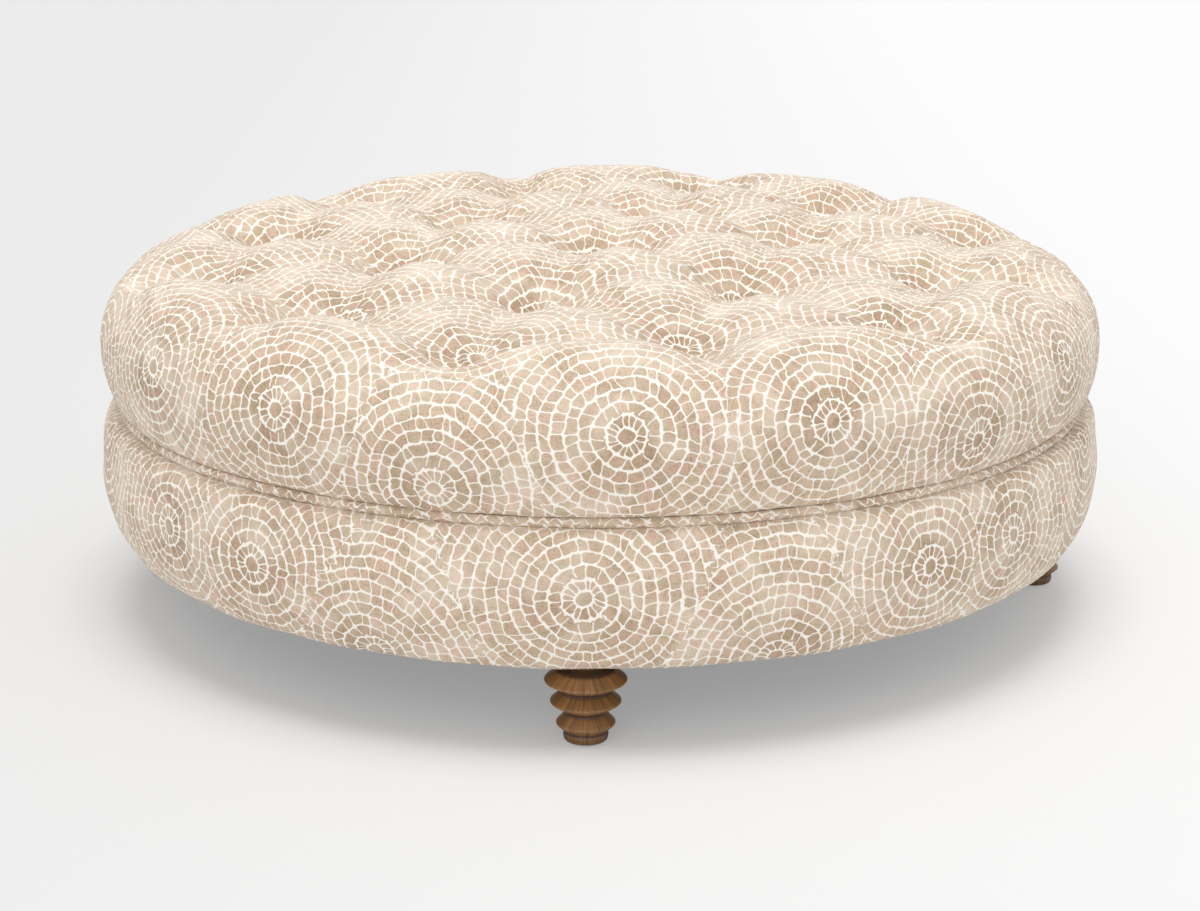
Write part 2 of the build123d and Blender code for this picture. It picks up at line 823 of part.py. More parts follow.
# Dust cover under the base, and the staples that hold it
with BuildPart() as dust_cover:
    with BuildSketch(Plane.XY.offset(dust_cover_bottom)):
        Circle(frame_radius - dust_cover_margin)
    extrude(amount=dust_cover_thickness)
    add(necks, mode=Mode.SUBTRACT)
    add(leg_slots, mode=Mode.SUBTRACT)

with BuildPart() as dust_cover_staples:
    with Locations(*staple_places):
        Box(staple_crown, staple_wire, staple_wire, align=hanging)
        with GridLocations(staple_crown - staple_wire, 0, 2, 1):
            Box(staple_wire, staple_wire, staple_leg, align=standing)


def driven_screws(places, length):
    """A group of like screws, one at each place."""
    with BuildPart() as screws:
        with Locations(*places):
            add(screw(length))
    return screws


post_screws = driven_screws(post_screw_places, post_screw_length)
block_screws = driven_screws(block_screw_places, block_screw_length)
deck_screws = driven_screws(deck_screw_places, deck_screw_length)
rail_screws = driven_screws(rail_screw_places, rail_screw_length)

pieces = {
    "base_ring": base_ring,
    "waist_ring": waist_ring,
    "apron_panel": apron_panel,
    "apron_padding": apron_padding,
    "apron_cover": apron_cover,
    "seam_welt": seam_welt,
    "tufting_deck": tufting_deck,
    "deck_rail_front": deck_rails[0],
    "deck_rail_rear": deck_rails[1],
    "seat_cover": seat_cover,
    "seat_foam": seat_foam,
    "tuft_buttons": tuft_buttons,
    "tufting_twine": tufting_twine,
    "twine_clasps": twine_clasps,
    "feet": feet,
    "foot_bolts": foot_bolts,
    "foot_tee_nuts": foot_tee_nuts,
    "foot_glides": foot_glides,
    "dust_cover": dust_cover,
    "dust_cover_staples": dust_cover_staples,
    "post_screws": post_screws,
    "block_screws": block_screws,
    "deck_screws": deck_screws,
    "rail_screws": rail_screws,
}
for index, post in enumerate(posts):
    pieces[f"post_{index + 1}"] = post
for name, foot_block in zip(("right", "rear", "left", "front"), foot_blocks):
    pieces[f"foot_block_{name}"] = foot_block

for name, piece in pieces.items():
    piece.part.label = name
    export_step(piece.part, f"parts/{name}.step")
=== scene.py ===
"""A round cocktail ottoman, button-tufted and covered in a mosaic-printed linen.

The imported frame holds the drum, deck, feet and fixings. This script draws what shows
over it: the tufted top, the apron, the welt in the seam, the buttons, the cloth under
the base and the turned feet. Lengths are in metres, in the frame's own axes: +Z up, the
viewer at -Y.
"""

import math

import bmesh
import bpy
import numpy as np
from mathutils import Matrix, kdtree


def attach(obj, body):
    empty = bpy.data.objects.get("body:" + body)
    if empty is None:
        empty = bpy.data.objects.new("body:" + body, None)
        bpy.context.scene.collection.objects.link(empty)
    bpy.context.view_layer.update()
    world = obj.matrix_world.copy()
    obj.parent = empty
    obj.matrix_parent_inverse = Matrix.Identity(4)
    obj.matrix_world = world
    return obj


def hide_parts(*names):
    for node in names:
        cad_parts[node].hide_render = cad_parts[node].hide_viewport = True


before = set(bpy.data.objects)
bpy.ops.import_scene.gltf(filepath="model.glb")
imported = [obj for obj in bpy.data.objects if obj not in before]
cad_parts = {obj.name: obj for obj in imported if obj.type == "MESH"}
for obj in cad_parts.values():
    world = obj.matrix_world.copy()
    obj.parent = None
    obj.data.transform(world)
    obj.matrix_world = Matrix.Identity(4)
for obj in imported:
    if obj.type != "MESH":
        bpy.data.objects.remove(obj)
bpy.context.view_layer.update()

TURN = 2 * math.pi
MM = 0.001

# How fine a section line is drawn, and the distances at which places count as one
LINE_STEP = 0.5 * MM
FEWEST_STEPS = 8
SAME_POINT = 0.01 * MM
WELD = 0.02 * MM
SLIVER = WELD / 4
AT_MIDDLE = 1 * MM

# The section of the cover, shared with the frame, as (radius, height)
SEAT_BOTTOM = 0.2606
SEAT_SWELL = (0.6075, 0.32975)
SHOULDER = 0.10603
CROWN = 0.445
SEAT_EDGE = (0.577, SEAT_BOTTOM)
SEAT_EDGE_ROLL = 0.018
SEAT_INNER_RIM = 0.5608
DECK_TOP = 0.2762
APRON_TOP = (0.586, 0.2512)
APRON_TOP_ROLL = 0.019
APRON_SWELL = (0.610, 0.1759)
APRON_FOOT = (0.567, 0.091)
APRON_FOOT_ROLL = 0.027
APRON_INNER_RIM = 0.5626
LIP_TURN = (0.551, 0.0928)
LIP_END = (0.5252, 0.0928)
LIP_TOP = 0.0939
WELT = (0.5835, 0.2562)
WELT_RADIUS = 0.0056

# The tufts: a triangular grid turned about the middle, and a button on each floor
TUFT_SPACING = 0.24575
TUFT_TURN = math.radians(13)
TUFT_RINGS = 2
TUFT_DEEPEST = 0.0627
TUFT_FLOOR = 0.38507
TUFT_LEAN = 0.9
BUTTON_RADIUS = 0.0132
BUTTON_EDGE = 0.003
BUTTON_HEIGHT = 0.0085
NEXT_TUFT_SHARE = 1.1
OUTER_TUFT_SHARE = 1.5

# Grain of the new meshes: the length of an edge on the top and on the side, the rings of
# faces from a cell's centre to its border, and how they widen outwards
TOP_STEP = 0.0068
SIDE_STEP = 0.0075
TOP_RINGS = 20
SIDE_RINGS = 16
RING_POWER = 1.15
RIM_CHORDS = 720
CELL_REACH = 0.9

# The cloth lies smooth on the last stretch before an edge
EDGE_FADE = 0.03


def arc(centre, radius, start, end):
    """Points on a circle of the section plane, a line step apart, between two angles."""
    count = max(int(abs(end - start) * radius / LINE_STEP), FEWEST_STEPS)
    turn = np.linspace(start, end, count)
    return np.c_[centre[0] + radius * np.cos(turn), centre[1] + radius * np.sin(turn)]


def angle(start, end):
    """The angle of the line between two points of the section plane."""
    return math.atan2(end[1] - start[1], end[0] - start[0])


def wrapped(value, whole):
    """A place on a ring that is whole long, from half of it behind to half of it ahead."""
    return (value + whole / 2) % whole - whole / 2


def polar(points):
    """The reach and the turn of places in plan."""
    return np.hypot(*points.T), np.arctan2(points[:, 1], points[:, 0])


def in_space(r, turn, z):
    """Points in space at radii, turns about the axis and heights."""
    return np.stack([r * np.cos(turn), r * np.sin(turn), z], -1)


def roll(swell, edge, edge_radius, way):
    """A padded roll from its swell to its edge: a wide arc that stands upright at the
    swell, then a small one that lies level at the edge. way is +1 for an edge above."""
    wide = swell[0] - edge[0]
    tall = abs(swell[1] - edge[1]) - edge_radius
    radius = (wide**2 + tall**2 - edge_radius**2) / (2 * (wide - edge_radius))
    side = (swell[0] - radius, swell[1])
    small = (edge[0], edge[1] - way * edge_radius)
    turn = angle(side, small)
    return arc(side, radius, 0, turn), arc(small, edge_radius, turn, way * TURN / 4)


class Section:
    """A section line by its length from the start: radius, height and outward normal."""

    def __init__(self, *runs):
        points = np.vstack(runs)
        steps = np.hypot(*np.diff(points, axis=0).T)
        points = points[np.r_[True, steps > SAME_POINT]]
        along = np.r_[0, np.cumsum(np.hypot(*np.diff(points, axis=0).T))]
        self.length = along[-1]
        self.at = np.linspace(0, self.length, int(self.length / LINE_STEP))
        self.r = np.interp(self.at, along, points[:, 0])
        self.z = np.interp(self.at, along, points[:, 1])
        slope_r = np.gradient(self.r, self.at)
        slope_z = np.gradient(self.z, self.at)
        size = np.hypot(slope_r, slope_z)
        self.out_r = -slope_z / size
        self.out_z = slope_r / size

    def radius(self, along):
        """The section's radius at a length along it."""
        return np.interp(along, self.at, self.r)

    def place(self, along, turn, sink):
        """Points in space at a length, a turn about the axis and a depth under the face."""
        r = self.radius(along) - sink * np.interp(along, self.at, self.out_r)
        z = np.interp(along, self.at, self.z) - sink * np.interp(along, self.at, self.out_z)
        return in_space(r, turn, z)


rise = CROWN - SEAT_SWELL[1]
crown_radius = (SEAT_SWELL[0] ** 2 + rise**2 - 2 * SEAT_SWELL[0] * SHOULDER) / (2 * (rise - SHOULDER))
crown_centre = (0, CROWN - crown_radius)
shoulder_centre = (SEAT_SWELL[0] - SHOULDER, SEAT_SWELL[1])
shoulder_turn = angle(crown_centre, shoulder_centre)
seat_side, seat_low = roll(SEAT_SWELL, SEAT_EDGE, SEAT_EDGE_ROLL, -1)
seat_line = Section(
    arc(crown_centre, crown_radius, TURN / 4, shoulder_turn),
    arc(shoulder_centre, SHOULDER, shoulder_turn, 0),
    seat_side,
    seat_low,
    [(SEAT_INNER_RIM, SEAT_BOTTOM)],
)
apron_high, apron_edge = roll(APRON_SWELL, APRON_TOP, APRON_TOP_ROLL, 1)
apron_low, apron_foot = roll(APRON_SWELL, APRON_FOOT, APRON_FOOT_ROLL, -1)
apron_line = Section(
    [(APRON_INNER_RIM, APRON_TOP[1])],
    apron_edge[::-1],
    apron_high[::-1],
    apron_low,
    apron_foot,
    [LIP_TURN, LIP_END],
)
APRON_FLAT = APRON_TOP[0] - APRON_INNER_RIM


# The tufts' places, and the axis along which each button is drawn down
steps = [
    (i, j)
    for j in range(-TUFT_RINGS, TUFT_RINGS + 1)
    for i in range(-TUFT_RINGS, TUFT_RINGS + 1)
    if abs(i + j) <= TUFT_RINGS
]
grid = np.array(steps, float)
ROW = math.sqrt(3) / 2
turned = np.array([
    [math.cos(TUFT_TURN), math.sin(TUFT_TURN)],
    [-math.sin(TUFT_TURN), math.cos(TUFT_TURN)],
])


def on_grid(cells):
    """Grid steps to places in plan: half a step over for each row, then turned."""
    return np.c_[cells[:, 0] + cells[:, 1] / 2, cells[:, 1] * ROW] * TUFT_SPACING @ turned


tufts = on_grid(grid)
tuft_height = crown_centre[1] + np.sqrt(crown_radius**2 - (tufts**2).sum(1))
tuft_lean = np.where((tufts**2).sum(1) > AT_MIDDLE**2, TUFT_LEAN, 1)
tuft_axis = np.c_[tufts, (tuft_height - crown_centre[1]) * tuft_lean]
tuft_axis /= np.linalg.norm(tuft_axis, axis=1)[:, None]
tuft_depth = np.minimum(TUFT_DEEPEST, (tuft_height - TUFT_FLOOR) / tuft_axis[:, 2])
tuft_floor = np.c_[tufts, tuft_height] - tuft_axis * tuft_depth[:, None]
plan_radius = np.hypot(*tufts.T)
tuft_along = np.where(plan_radius > AT_MIDDLE, crown_radius * np.arcsin(plan_radius / crown_radius), 0)
tuft_marks = tufts * (tuft_along / np.maximum(plan_radius, AT_MIDDLE))[:, None]

# The valleys: one along the line between each two tufts, and one from each outer tuft
# straight out, a ramp up to the shoulder
valleys = [
    (tufts[first], tufts[second])
    for first in range(len(tufts))
    for second in range(first)
    if np.hypot(*(tufts[first] - tufts[second])) < NEXT_TUFT_SHARE * TUFT_SPACING
]
outer_tufts = [index for index in range(len(tufts)) if plan_radius[index] > OUTER_TUFT_SHARE * TUFT_SPACING]
VALLEY_DEPTH = 0.013
VALLEY_WIDTH = 0.036
PIT_WIDTH = 0.060
PIT_POWER = 3
RIM_STEEPER = 1.4
PULL = 0.004
PULL_WIDTH = 0.015
RAMP_WIDTH = 0.040
RAMP_END = 0.590
RAMP_POWER = 1.15
RAMP_SWING = 1
DISH_AT = 0.40
DISH_WIDTH = 0.13
DISH_BACK = 0.007
DISH_FRONT = 0.020
SWELL_AT = 0.556
SWELL_WIDTH = 0.036
# Pleats round a button, as (waves round it, phase from tuft to tuft, share)
PLEATS = ((7, 2.1, 1.0), (11, 1.3, 0.6))
PLEAT_DEPTH = 0.0013
PLEAT_AT = 0.034
PLEAT_WIDTH = 0.016
# The slack of the cloth, as (waves along x, waves along y, phase)
SLACK_WAVES = ((31, 17, 0), (-23, 29, 1.7), (47, -11, 0.6))
SLACK_DEPTH = 0.0004
# In millimetres, round the top from its right side: how far the rim swells between the
# outer tufts, and how deep the ramps from them start
RIM_SWELLS = (-12.0, -7.0, 0.5, 3.0, 0.0, -4.0, -8.0, 0.0, 3.0, 4.0, 3.0, -4.0)
RAMPS = (62.0, 62.0, 20.0, 58.0, 36.0, 62.0, 52.0, 60.0, 60.0, 62.0, 60.0, 60.0)
SECTORS = len(RAMPS)
SWELL_SHIFT = 1 / 15


def bell(gap, width):
    """A bell curve: one in the middle, a third at its width."""
    return np.exp(-((gap / width) ** 2))


def valleys_of_top(points):
    """How deep the valleys lie: bells across the lines between the tufts and across the
    ramps, the deepest of them at each place."""
    deep = np.zeros(len(points))
    for start, end in valleys:
        way = end - start
        share = np.clip((points - start) @ way / (way @ way), 0, 1)
        gap = np.hypot(*(points - start - share[:, None] * way).T)
        deep = np.maximum(deep, VALLEY_DEPTH * bell(gap, VALLEY_WIDTH))
    along, turn = polar(points)
    for index in outer_tufts:
        outward = math.atan2(tufts[index][1], tufts[index][0])
        swing = wrapped(turn - outward, TURN)
        ahead = along * np.cos(swing) - plan_radius[index]
        gap = np.hypot(along * np.sin(swing), np.minimum(ahead, 0))
        left = 1 - np.clip(ahead / (RAMP_END - plan_radius[index]), 0, 1)
        ramp_depth = RAMPS[int(outward % TURN / TURN * SECTORS)] * MM * left**RAMP_POWER
        deep = np.maximum(deep, ramp_depth * bell(gap, RAMP_WIDTH) * (np.abs(swing) < RAMP_SWING))
    return deep


def sink_of_top(points):
    """How far the tufted face lies under the smooth crown, at places on the unrolled top.

    The valleys, a shallow dish along the outer tufts, the rim's swell past it, and on
    every tuft a pit with steep walls, exp(-(gap / width)^3), that reaches down to the
    tuft's floor. Round the button lies a tighter pull, and small pleats run out from it.
    """
    along, turn = polar(points)
    middles = (np.arange(SECTORS) - SWELL_SHIFT) * TURN / SECTORS
    swell = np.interp(turn % TURN, middles, RIM_SWELLS, period=TURN) * MM
    front = (1 - np.sin(turn)) / 2
    dish = DISH_BACK + (DISH_FRONT - DISH_BACK) * front**2
    sink = valleys_of_top(points) + dish * bell(along - DISH_AT, DISH_WIDTH)
    sink = sink - swell * bell(along - SWELL_AT, SWELL_WIDTH)
    for index, mark in enumerate(tuft_marks):
        apart = points - mark
        gap, turn = polar(apart)
        wide = gap
        if index in outer_tufts:
            ahead = apart @ mark / np.hypot(*mark)
            wide = np.hypot(gap, np.maximum(ahead, 0) * RIM_STEEPER)
        pit = np.exp(-((wide / PIT_WIDTH) ** PIT_POWER))
        sink = sink + pit * (tuft_depth[index] - PULL - sink) + PULL * bell(gap, PULL_WIDTH)
        wave = sum(share * np.sin(waves * turn + phase * index) for waves, phase, share in PLEATS)
        sink = sink + PLEAT_DEPTH * wave * bell(gap - PLEAT_AT, PLEAT_WIDTH)
    return sink


def rest_of_cloth(points):
    """The slack of the cloth: long, shallow waves a millimetre or so deep."""
    x, y = points.T
    return SLACK_DEPTH * sum(np.sin(along * x + across * y + phase) for along, across, phase in SLACK_WAVES)


def clipped(border, point, out, tag):
    """A convex border cut by a half-plane: what lies behind the point along out is kept.

    A border is a list of (x, y, tag), the tag naming what lies past the edge that
    starts at the point."""
    kept = []
    for (x0, y0, tag0), (x1, y1, _) in zip(border, border[1:] + border[:1]):
        before = (x0 - point[0]) * out[0] + (y0 - point[1]) * out[1]
        after = (x1 - point[0]) * out[0] + (y1 - point[1]) * out[1]
        if before <= 0:
            kept.append((x0, y0, tag0))
        if (before <= 0) != (after <= 0):
            share = before / (before - after)
            cross = (x0 + share * (x1 - x0), y0 + share * (y1 - y0))
            kept.append((*cross, tag if before <= 0 else tag0))
    return kept


def cell_borders(centres, others, start, step):
    """The border of each centre's cell, in short steps, with its neighbour at each step.

    others holds every centre that can be a neighbour, as (x, y, index)."""
    borders = []
    for index, centre in enumerate(centres):
        border = start(centre)
        for x, y, other in others:
            apart = np.array([x, y]) - centre
            size = np.hypot(*apart)
            if AT_MIDDLE < size < CELL_REACH:
                border = clipped(border, centre + apart / 2, apart / size, other)
        points = []
        neighbours = []
        for (x0, y0, tag), (x1, y1, _) in zip(border, border[1:] + border[:1]):
            length = math.hypot(x1 - x0, y1 - y0)
            if length < WELD:
                continue
            count = max(1, round(length / step))
            shares = np.arange(count) / count
            points.append(np.c_[x0 + shares * (x1 - x0), y0 + shares * (y1 - y0)])
            neighbours += [tag] * count
        borders.append((np.vstack(points), np.array(neighbours)))
    return borders


def mesh_piece(name, parts):
    """An object from parts of (grid of points, closed, own print, next print).

    Each grid is rows by columns of points, and its columns close into a ring if closed.
    The prints are the two places on the cloth at each corner of each face. Doubles are
    merged, so that neighbouring parts share their edges.
    """
    points = []
    faces = []
    own = []
    following = []
    total = 0
    for grid_points, closed, prints, nexts in parts:
        rows, columns = grid_points.shape[:2]
        wrap = columns if closed else columns - 1
        i, j = np.meshgrid(np.arange(rows - 1), np.arange(wrap), indexing="ij")
        k = (j + 1) % columns
        here = i * columns
        ahead = (i + 1) * columns
        corners = np.stack([here + j, ahead + j, ahead + k, here + k], -1)
        faces.append(corners.reshape(-1, 4) + total)
        points.append(grid_points.reshape(-1, 3))
        for source, target in ((prints, own), (nexts, following)):
            if callable(source):
                target.append(source(i, j).reshape(-1, 2))
            else:
                target.append(source.reshape(-1, 2)[corners.reshape(-1)])
        total += rows * columns
    mesh = bpy.data.meshes.new(name)
    mesh.from_pydata(np.vstack(points).tolist(), [], np.vstack(faces).tolist())
    for layer, values in (("print", own), ("next print", following)):
        mesh.uv_layers.new(name=layer).data.foreach_set("uv", np.vstack(values).ravel())
    shape = bmesh.new()
    shape.from_mesh(mesh)
    bmesh.ops.remove_doubles(shape, verts=shape.verts, dist=WELD)
    bmesh.ops.dissolve_degenerate(shape, edges=shape.edges, dist=SLIVER)
    for face in shape.faces:
        face.smooth = True
    shape.to_mesh(mesh)
    shape.free()
    piece = bpy.data.objects.new(name, mesh)
    bpy.context.scene.collection.objects.link(piece)
    return piece


def cloth_parts(centres, borders, locals_of, lift, rings):
    """The cloth of every cell as fans of rings from its centre to its border.

    A point is its centre plus a share of the way to the border. locals_of gives the
    place on the cloth that a cell's print has at points, and lift puts points in space.
    The whole number added to a print's first coordinate is its cell's number.
    """
    parts = []
    share = (np.arange(rings + 1) / rings) ** RING_POWER
    for index, (centre, (border, neighbours)) in enumerate(zip(centres, borders)):
        count = len(border)
        flat = centre + share[:, None, None] * (border - centre)[None]
        own = locals_of(index, flat.reshape(-1, 2)).reshape(rings + 1, count, 2)
        own = own + np.array([index, 0])
        following = np.zeros((2, rings + 1, count, 2))
        for other in np.unique(neighbours):
            there = locals_of(other, flat.reshape(-1, 2)).reshape(rings + 1, count, 2)
            there = there + np.array([other, 0])
            columns = np.where(neighbours == other)[0]
            following[0][:, columns] = there[:, columns]
            following[1][:, columns] = there[:, (columns + 1) % count]

        def at_corners(i, j, pair=following, columns=count):
            k = (j + 1) % columns
            return np.stack([pair[0][i, j], pair[0][i + 1, j], pair[1][i + 1, j], pair[1][i, j]], 2)

        lifted = lift(flat.reshape(-1, 2)).reshape(rings + 1, count, 3)
        parts.append((lifted, True, own, at_corners))
    return parts


# The print's rosettes: on the top a grid like the tufts' but a little closer, and on the
# side where the run of the cloth puts them, as (degrees, length from the middle of the top)
PRINT_SHARE = 0.93
top_marks = tuft_marks * PRINT_SHARE
SIDE_SHORTER = 0.0026
side_rosettes = [
    (-145.5, 0.638), (-124.6, 0.645), (-106.5, 0.708), (-87.5, 0.645), (-66.5, 0.643), (-47.7, 0.692),
    (-29.6, 0.642), (-8.5, 0.645), (12.0, 0.700), (31.0, 0.640), (52.0, 0.646), (72.0, 0.704),
    (91.0, 0.641), (112.0, 0.645), (133.0, 0.700), (153.0, 0.642), (174.0, 0.640), (194.0, 0.698),
]
side_turn = np.radians([place[0] for place in side_rosettes])
side_along = np.array([place[1] for place in side_rosettes]) - SIDE_SHORTER
side_marks = np.c_[side_along * np.cos(side_turn), side_along * np.sin(side_turn)]
seat_marks = np.vstack([top_marks, side_marks])


def seat_print(index, points):
    """The place on the cloth from a rosette: in plan on the top, and on the side the
    length down it and the length round it, turned to the same axes."""
    if index < len(top_marks):
        return points - seat_marks[index]
    turn = side_turn[index - len(top_marks)]
    along = side_along[index - len(top_marks)]
    reach, way = polar(points)
    swing = wrapped(way - turn, TURN)
    out = np.array([math.cos(turn), math.sin(turn)])
    across = np.array([-math.sin(turn), math.cos(turn)])
    return (reach - along)[:, None] * out + (seat_line.radius(reach) * swing)[:, None] * across


def seat_lift(points):
    """The unrolled top in space: length and turn on the section, sunk by the tufting."""
    along, turn = polar(points)
    fade = np.clip((seat_line.length - along) / EDGE_FADE, 0, 1)
    return seat_line.place(along, turn, sink_of_top(points) * fade + rest_of_cloth(points) * fade)


def seat_rim(centre):
    """The rim of the unrolled top, as a border of short chords."""
    turns = np.arange(RIM_CHORDS) / RIM_CHORDS * TURN
    return [(seat_line.length * math.cos(turn), seat_line.length * math.sin(turn), -1) for turn in turns]


ON_RIM_SHARE = 0.9995
seat_others = [(*mark, index) for index, mark in enumerate(seat_marks)]
seat_borders = cell_borders(seat_marks, seat_others, seat_rim, TOP_STEP)
rim_points = []
for index, (border, neighbours) in enumerate(seat_borders):
    reach = np.hypot(*border.T)
    on_rim = reach > seat_line.length * ON_RIM_SHARE
    border[on_rim] *= (seat_line.length / reach[on_rim])[:, None]
    rim_points.append(border[on_rim])
    for k in np.where(neighbours < 0)[0]:
        apart = np.hypot(*(seat_marks - border[k]).T)
        apart[index] = np.inf
        neighbours[k] = apart.argmin()


# The hidden bands' places on the cloth: how wide and from where, and how far each row runs
BAND_WIDE = 0.09
BAND_FROM = 0.1
BAND_ROW = 0.02
BAND_NEXT = np.array([1.0, 0.2])
TURN_DIGITS = 7


def ring_part(points, line):
    """A plain band that carries a ring of points on along a line of (radius, height)."""
    turn = np.arctan2(points[:, 1], points[:, 0])
    turn = np.unique(np.round(turn % TURN, TURN_DIGITS))
    r, z = np.array(line).T
    band = in_space(r[:, None], turn, z[:, None] + 0 * turn)
    across = turn[None] * BAND_WIDE + 0 * r[:, None]
    down = BAND_FROM + np.cumsum(np.ones_like(across), 0) * BAND_ROW
    place = np.stack([across, down], -1)
    return band, True, place, place + BAND_NEXT


# The tufted top: cloth over foam, closed under the deck's edge and over the deck
seat_parts = cloth_parts(seat_marks, seat_borders, seat_print, seat_lift, TOP_RINGS)
closing = [(SEAT_INNER_RIM, SEAT_BOTTOM), (SEAT_INNER_RIM, DECK_TOP), (0, DECK_TOP)]
seat_parts.append(ring_part(np.vstack(rim_points), closing))
tufted_top = mesh_piece("tufted_top", seat_parts)

# The settling of the top's cloth: the grain of the trial copy, how far a point may move,
# the spare length of the cloth and how stiff it is, and what stays where it is
TRIAL_GRAIN = 0.008
MOVE_CAP = 0.006
STILL = 0.001 * MM
SPARE_SHARE = 0.035
PRESSURE = 4.0
STRETCH_STIFFNESS = 20.0
BENDING_STIFFNESS = 0.6
SOLVER_STEPS = 4
LAST_FRAME = 20
NEAR_POINTS = 6
NEAR_EASE = TRIAL_GRAIN / 5
HELD_AT_TUFT = 0.020
HELD_SIDE = (0.580, 0.400)


def places(mesh):
    """The places of a mesh's points, as rows."""
    flat = np.empty(3 * len(mesh.vertices))
    mesh.vertices.foreach_get("co", flat)
    return flat.reshape(-1, 3)


def held_of_top(points):
    """What stays of the top: the cloth under the buttons, and the side from its swell down."""
    to_tuft = np.full(len(points), TUFT_SPACING)
    for floor in tuft_floor:
        to_tuft = np.minimum(to_tuft, np.linalg.norm(points - floor, axis=1))
    on_side = (np.hypot(points[:, 0], points[:, 1]) > HELD_SIDE[0]) & (points[:, 2] < HELD_SIDE[1])
    return (to_tuft < HELD_AT_TUFT) | on_side | (points[:, 2] < SEAT_SWELL[1])


def settle(piece, held):
    """Lets a cushion's cloth settle. A copy at an even grain is blown up as a cloth with
    spare length, and each point of the piece moves as the copy's nearest points did,
    cap * tanh(move / cap) far."""
    scene = bpy.context.scene
    copy = bpy.data.objects.new(piece.name + "_trial", piece.data.copy())
    scene.collection.objects.link(copy)
    remesh = copy.modifiers.new("even grain", "REMESH")
    remesh.mode = "VOXEL"
    remesh.voxel_size = TRIAL_GRAIN
    even = bpy.data.meshes.new_from_object(copy.evaluated_get(bpy.context.evaluated_depsgraph_get()))
    copy.modifiers.clear()
    copy.data = even
    start = places(even)
    pins = copy.vertex_groups.new(name="held")
    pins.add(np.where(held(start))[0].tolist(), 1.0, "REPLACE")
    cloth = copy.modifiers.new("cloth", "CLOTH")
    cloth.settings.vertex_group_mass = "held"
    cloth.settings.use_pressure = True
    cloth.settings.uniform_pressure_force = PRESSURE
    cloth.settings.shrink_min = -SPARE_SHARE
    cloth.settings.tension_stiffness = STRETCH_STIFFNESS
    cloth.settings.compression_stiffness = STRETCH_STIFFNESS
    cloth.settings.bending_stiffness = BENDING_STIFFNESS
    cloth.settings.quality = SOLVER_STEPS
    cloth.settings.effector_weights.gravity = 0.0
    cloth.collision_settings.use_collision = False
    cloth.point_cache.frame_end = LAST_FRAME
    for number in range(1, LAST_FRAME + 1):
        scene.frame_set(number)
    settled = copy.evaluated_get(bpy.context.evaluated_depsgraph_get()).data
    moved = places(settled) - start
    scene.frame_set(1)
    size = np.linalg.norm(moved, axis=1)
    moved *= (MOVE_CAP * np.tanh(size / MOVE_CAP) / np.maximum(size, STILL))[:, None]
    tree = kdtree.KDTree(len(start))
    for index, point in enumerate(start.tolist()):
        tree.insert(point, index)
    tree.balance()
    points = places(piece.data)
    for index, point in enumerate(points.tolist()):
        near = tree.find_n(point, NEAR_POINTS)
        weights = np.array([1 / (distance + NEAR_EASE) for _, _, distance in near])
        points[index] += weights @ moved[[found for _, found, _ in near]] / weights.sum()
    piece.data.vertices.foreach_set("co", points.ravel())
    piece.data.update()
    bpy.data.objects.remove(copy)


settle(tufted_top, held_of_top)

# The apron: the same cloth over a rolled pad, unrolled as length round by length down. The
# rosettes are given as (degrees, millimetres down)
APRON_ROUND = TURN * APRON_SWELL[0]
BAND_REACH = 0.5
APRON_SLACK_REACH = 0.6
APRON_WAVE = 0.0006
APRON_WAVES_DOWN = 115
APRON_WAVES_ROUND = 3
CLOSING_OVERLAP = 0.001
apron_rosettes = [
    (-164.1, 20), (-141.9, 76), (-128.0, 84), (-114.1, 168), (-91.6, 81), (-71.6, 164),
    (-54.5, 81), (-41.4, 77), (-20.4, 20), (-2.0, 118), (17.0, 62), (38.0, 146),
    (58.0, 70), (78.0, 140), (98.0, 60), (119.0, 142), (139.0, 70), (160.0, 146), (178.0, 78),
]
apron_marks = np.array([
    (math.radians(turn) * APRON_SWELL[0], APRON_FLAT + down * MM) for turn, down in apron_rosettes
])


def apron_print(index, points):
    """The place on the cloth from a rosette of the apron: length round by length down."""
    index = index - len(seat_marks)
    swing = wrapped(points[:, 0] - apron_marks[index, 0], APRON_ROUND)
    across = swing / APRON_SWELL[0] * apron_line.radius(points[:, 1])
    return np.c_[across, points[:, 1] - apron_marks[index, 1]]


def apron_lift(points):
    """The unrolled apron in space, with the cloth's slack."""
    fade = np.clip(np.minimum(points[:, 1], apron_line.length - points[:, 1]) / EDGE_FADE, 0, 1)
    turn = points[:, 0] / APRON_SWELL[0]
    round_place = np.c_[np.cos(turn), np.sin(turn)] * APRON_SLACK_REACH
    wave = np.sin(APRON_WAVES_DOWN * points[:, 1] + APRON_WAVES_ROUND * turn)
    slack = rest_of_cloth(round_place) + APRON_WAVE * wave
    return apron_line.place(points[:, 1], turn, slack * fade)


def apron_band(centre):
    """A stretch of the apron's band around a centre, as a border."""
    left = centre[0] - BAND_REACH
    right = centre[0] + BAND_REACH
    foot = apron_line.length
    return [(left, 0.0, -1), (right, 0.0, -1), (right, foot, -1), (left, foot, -1)]


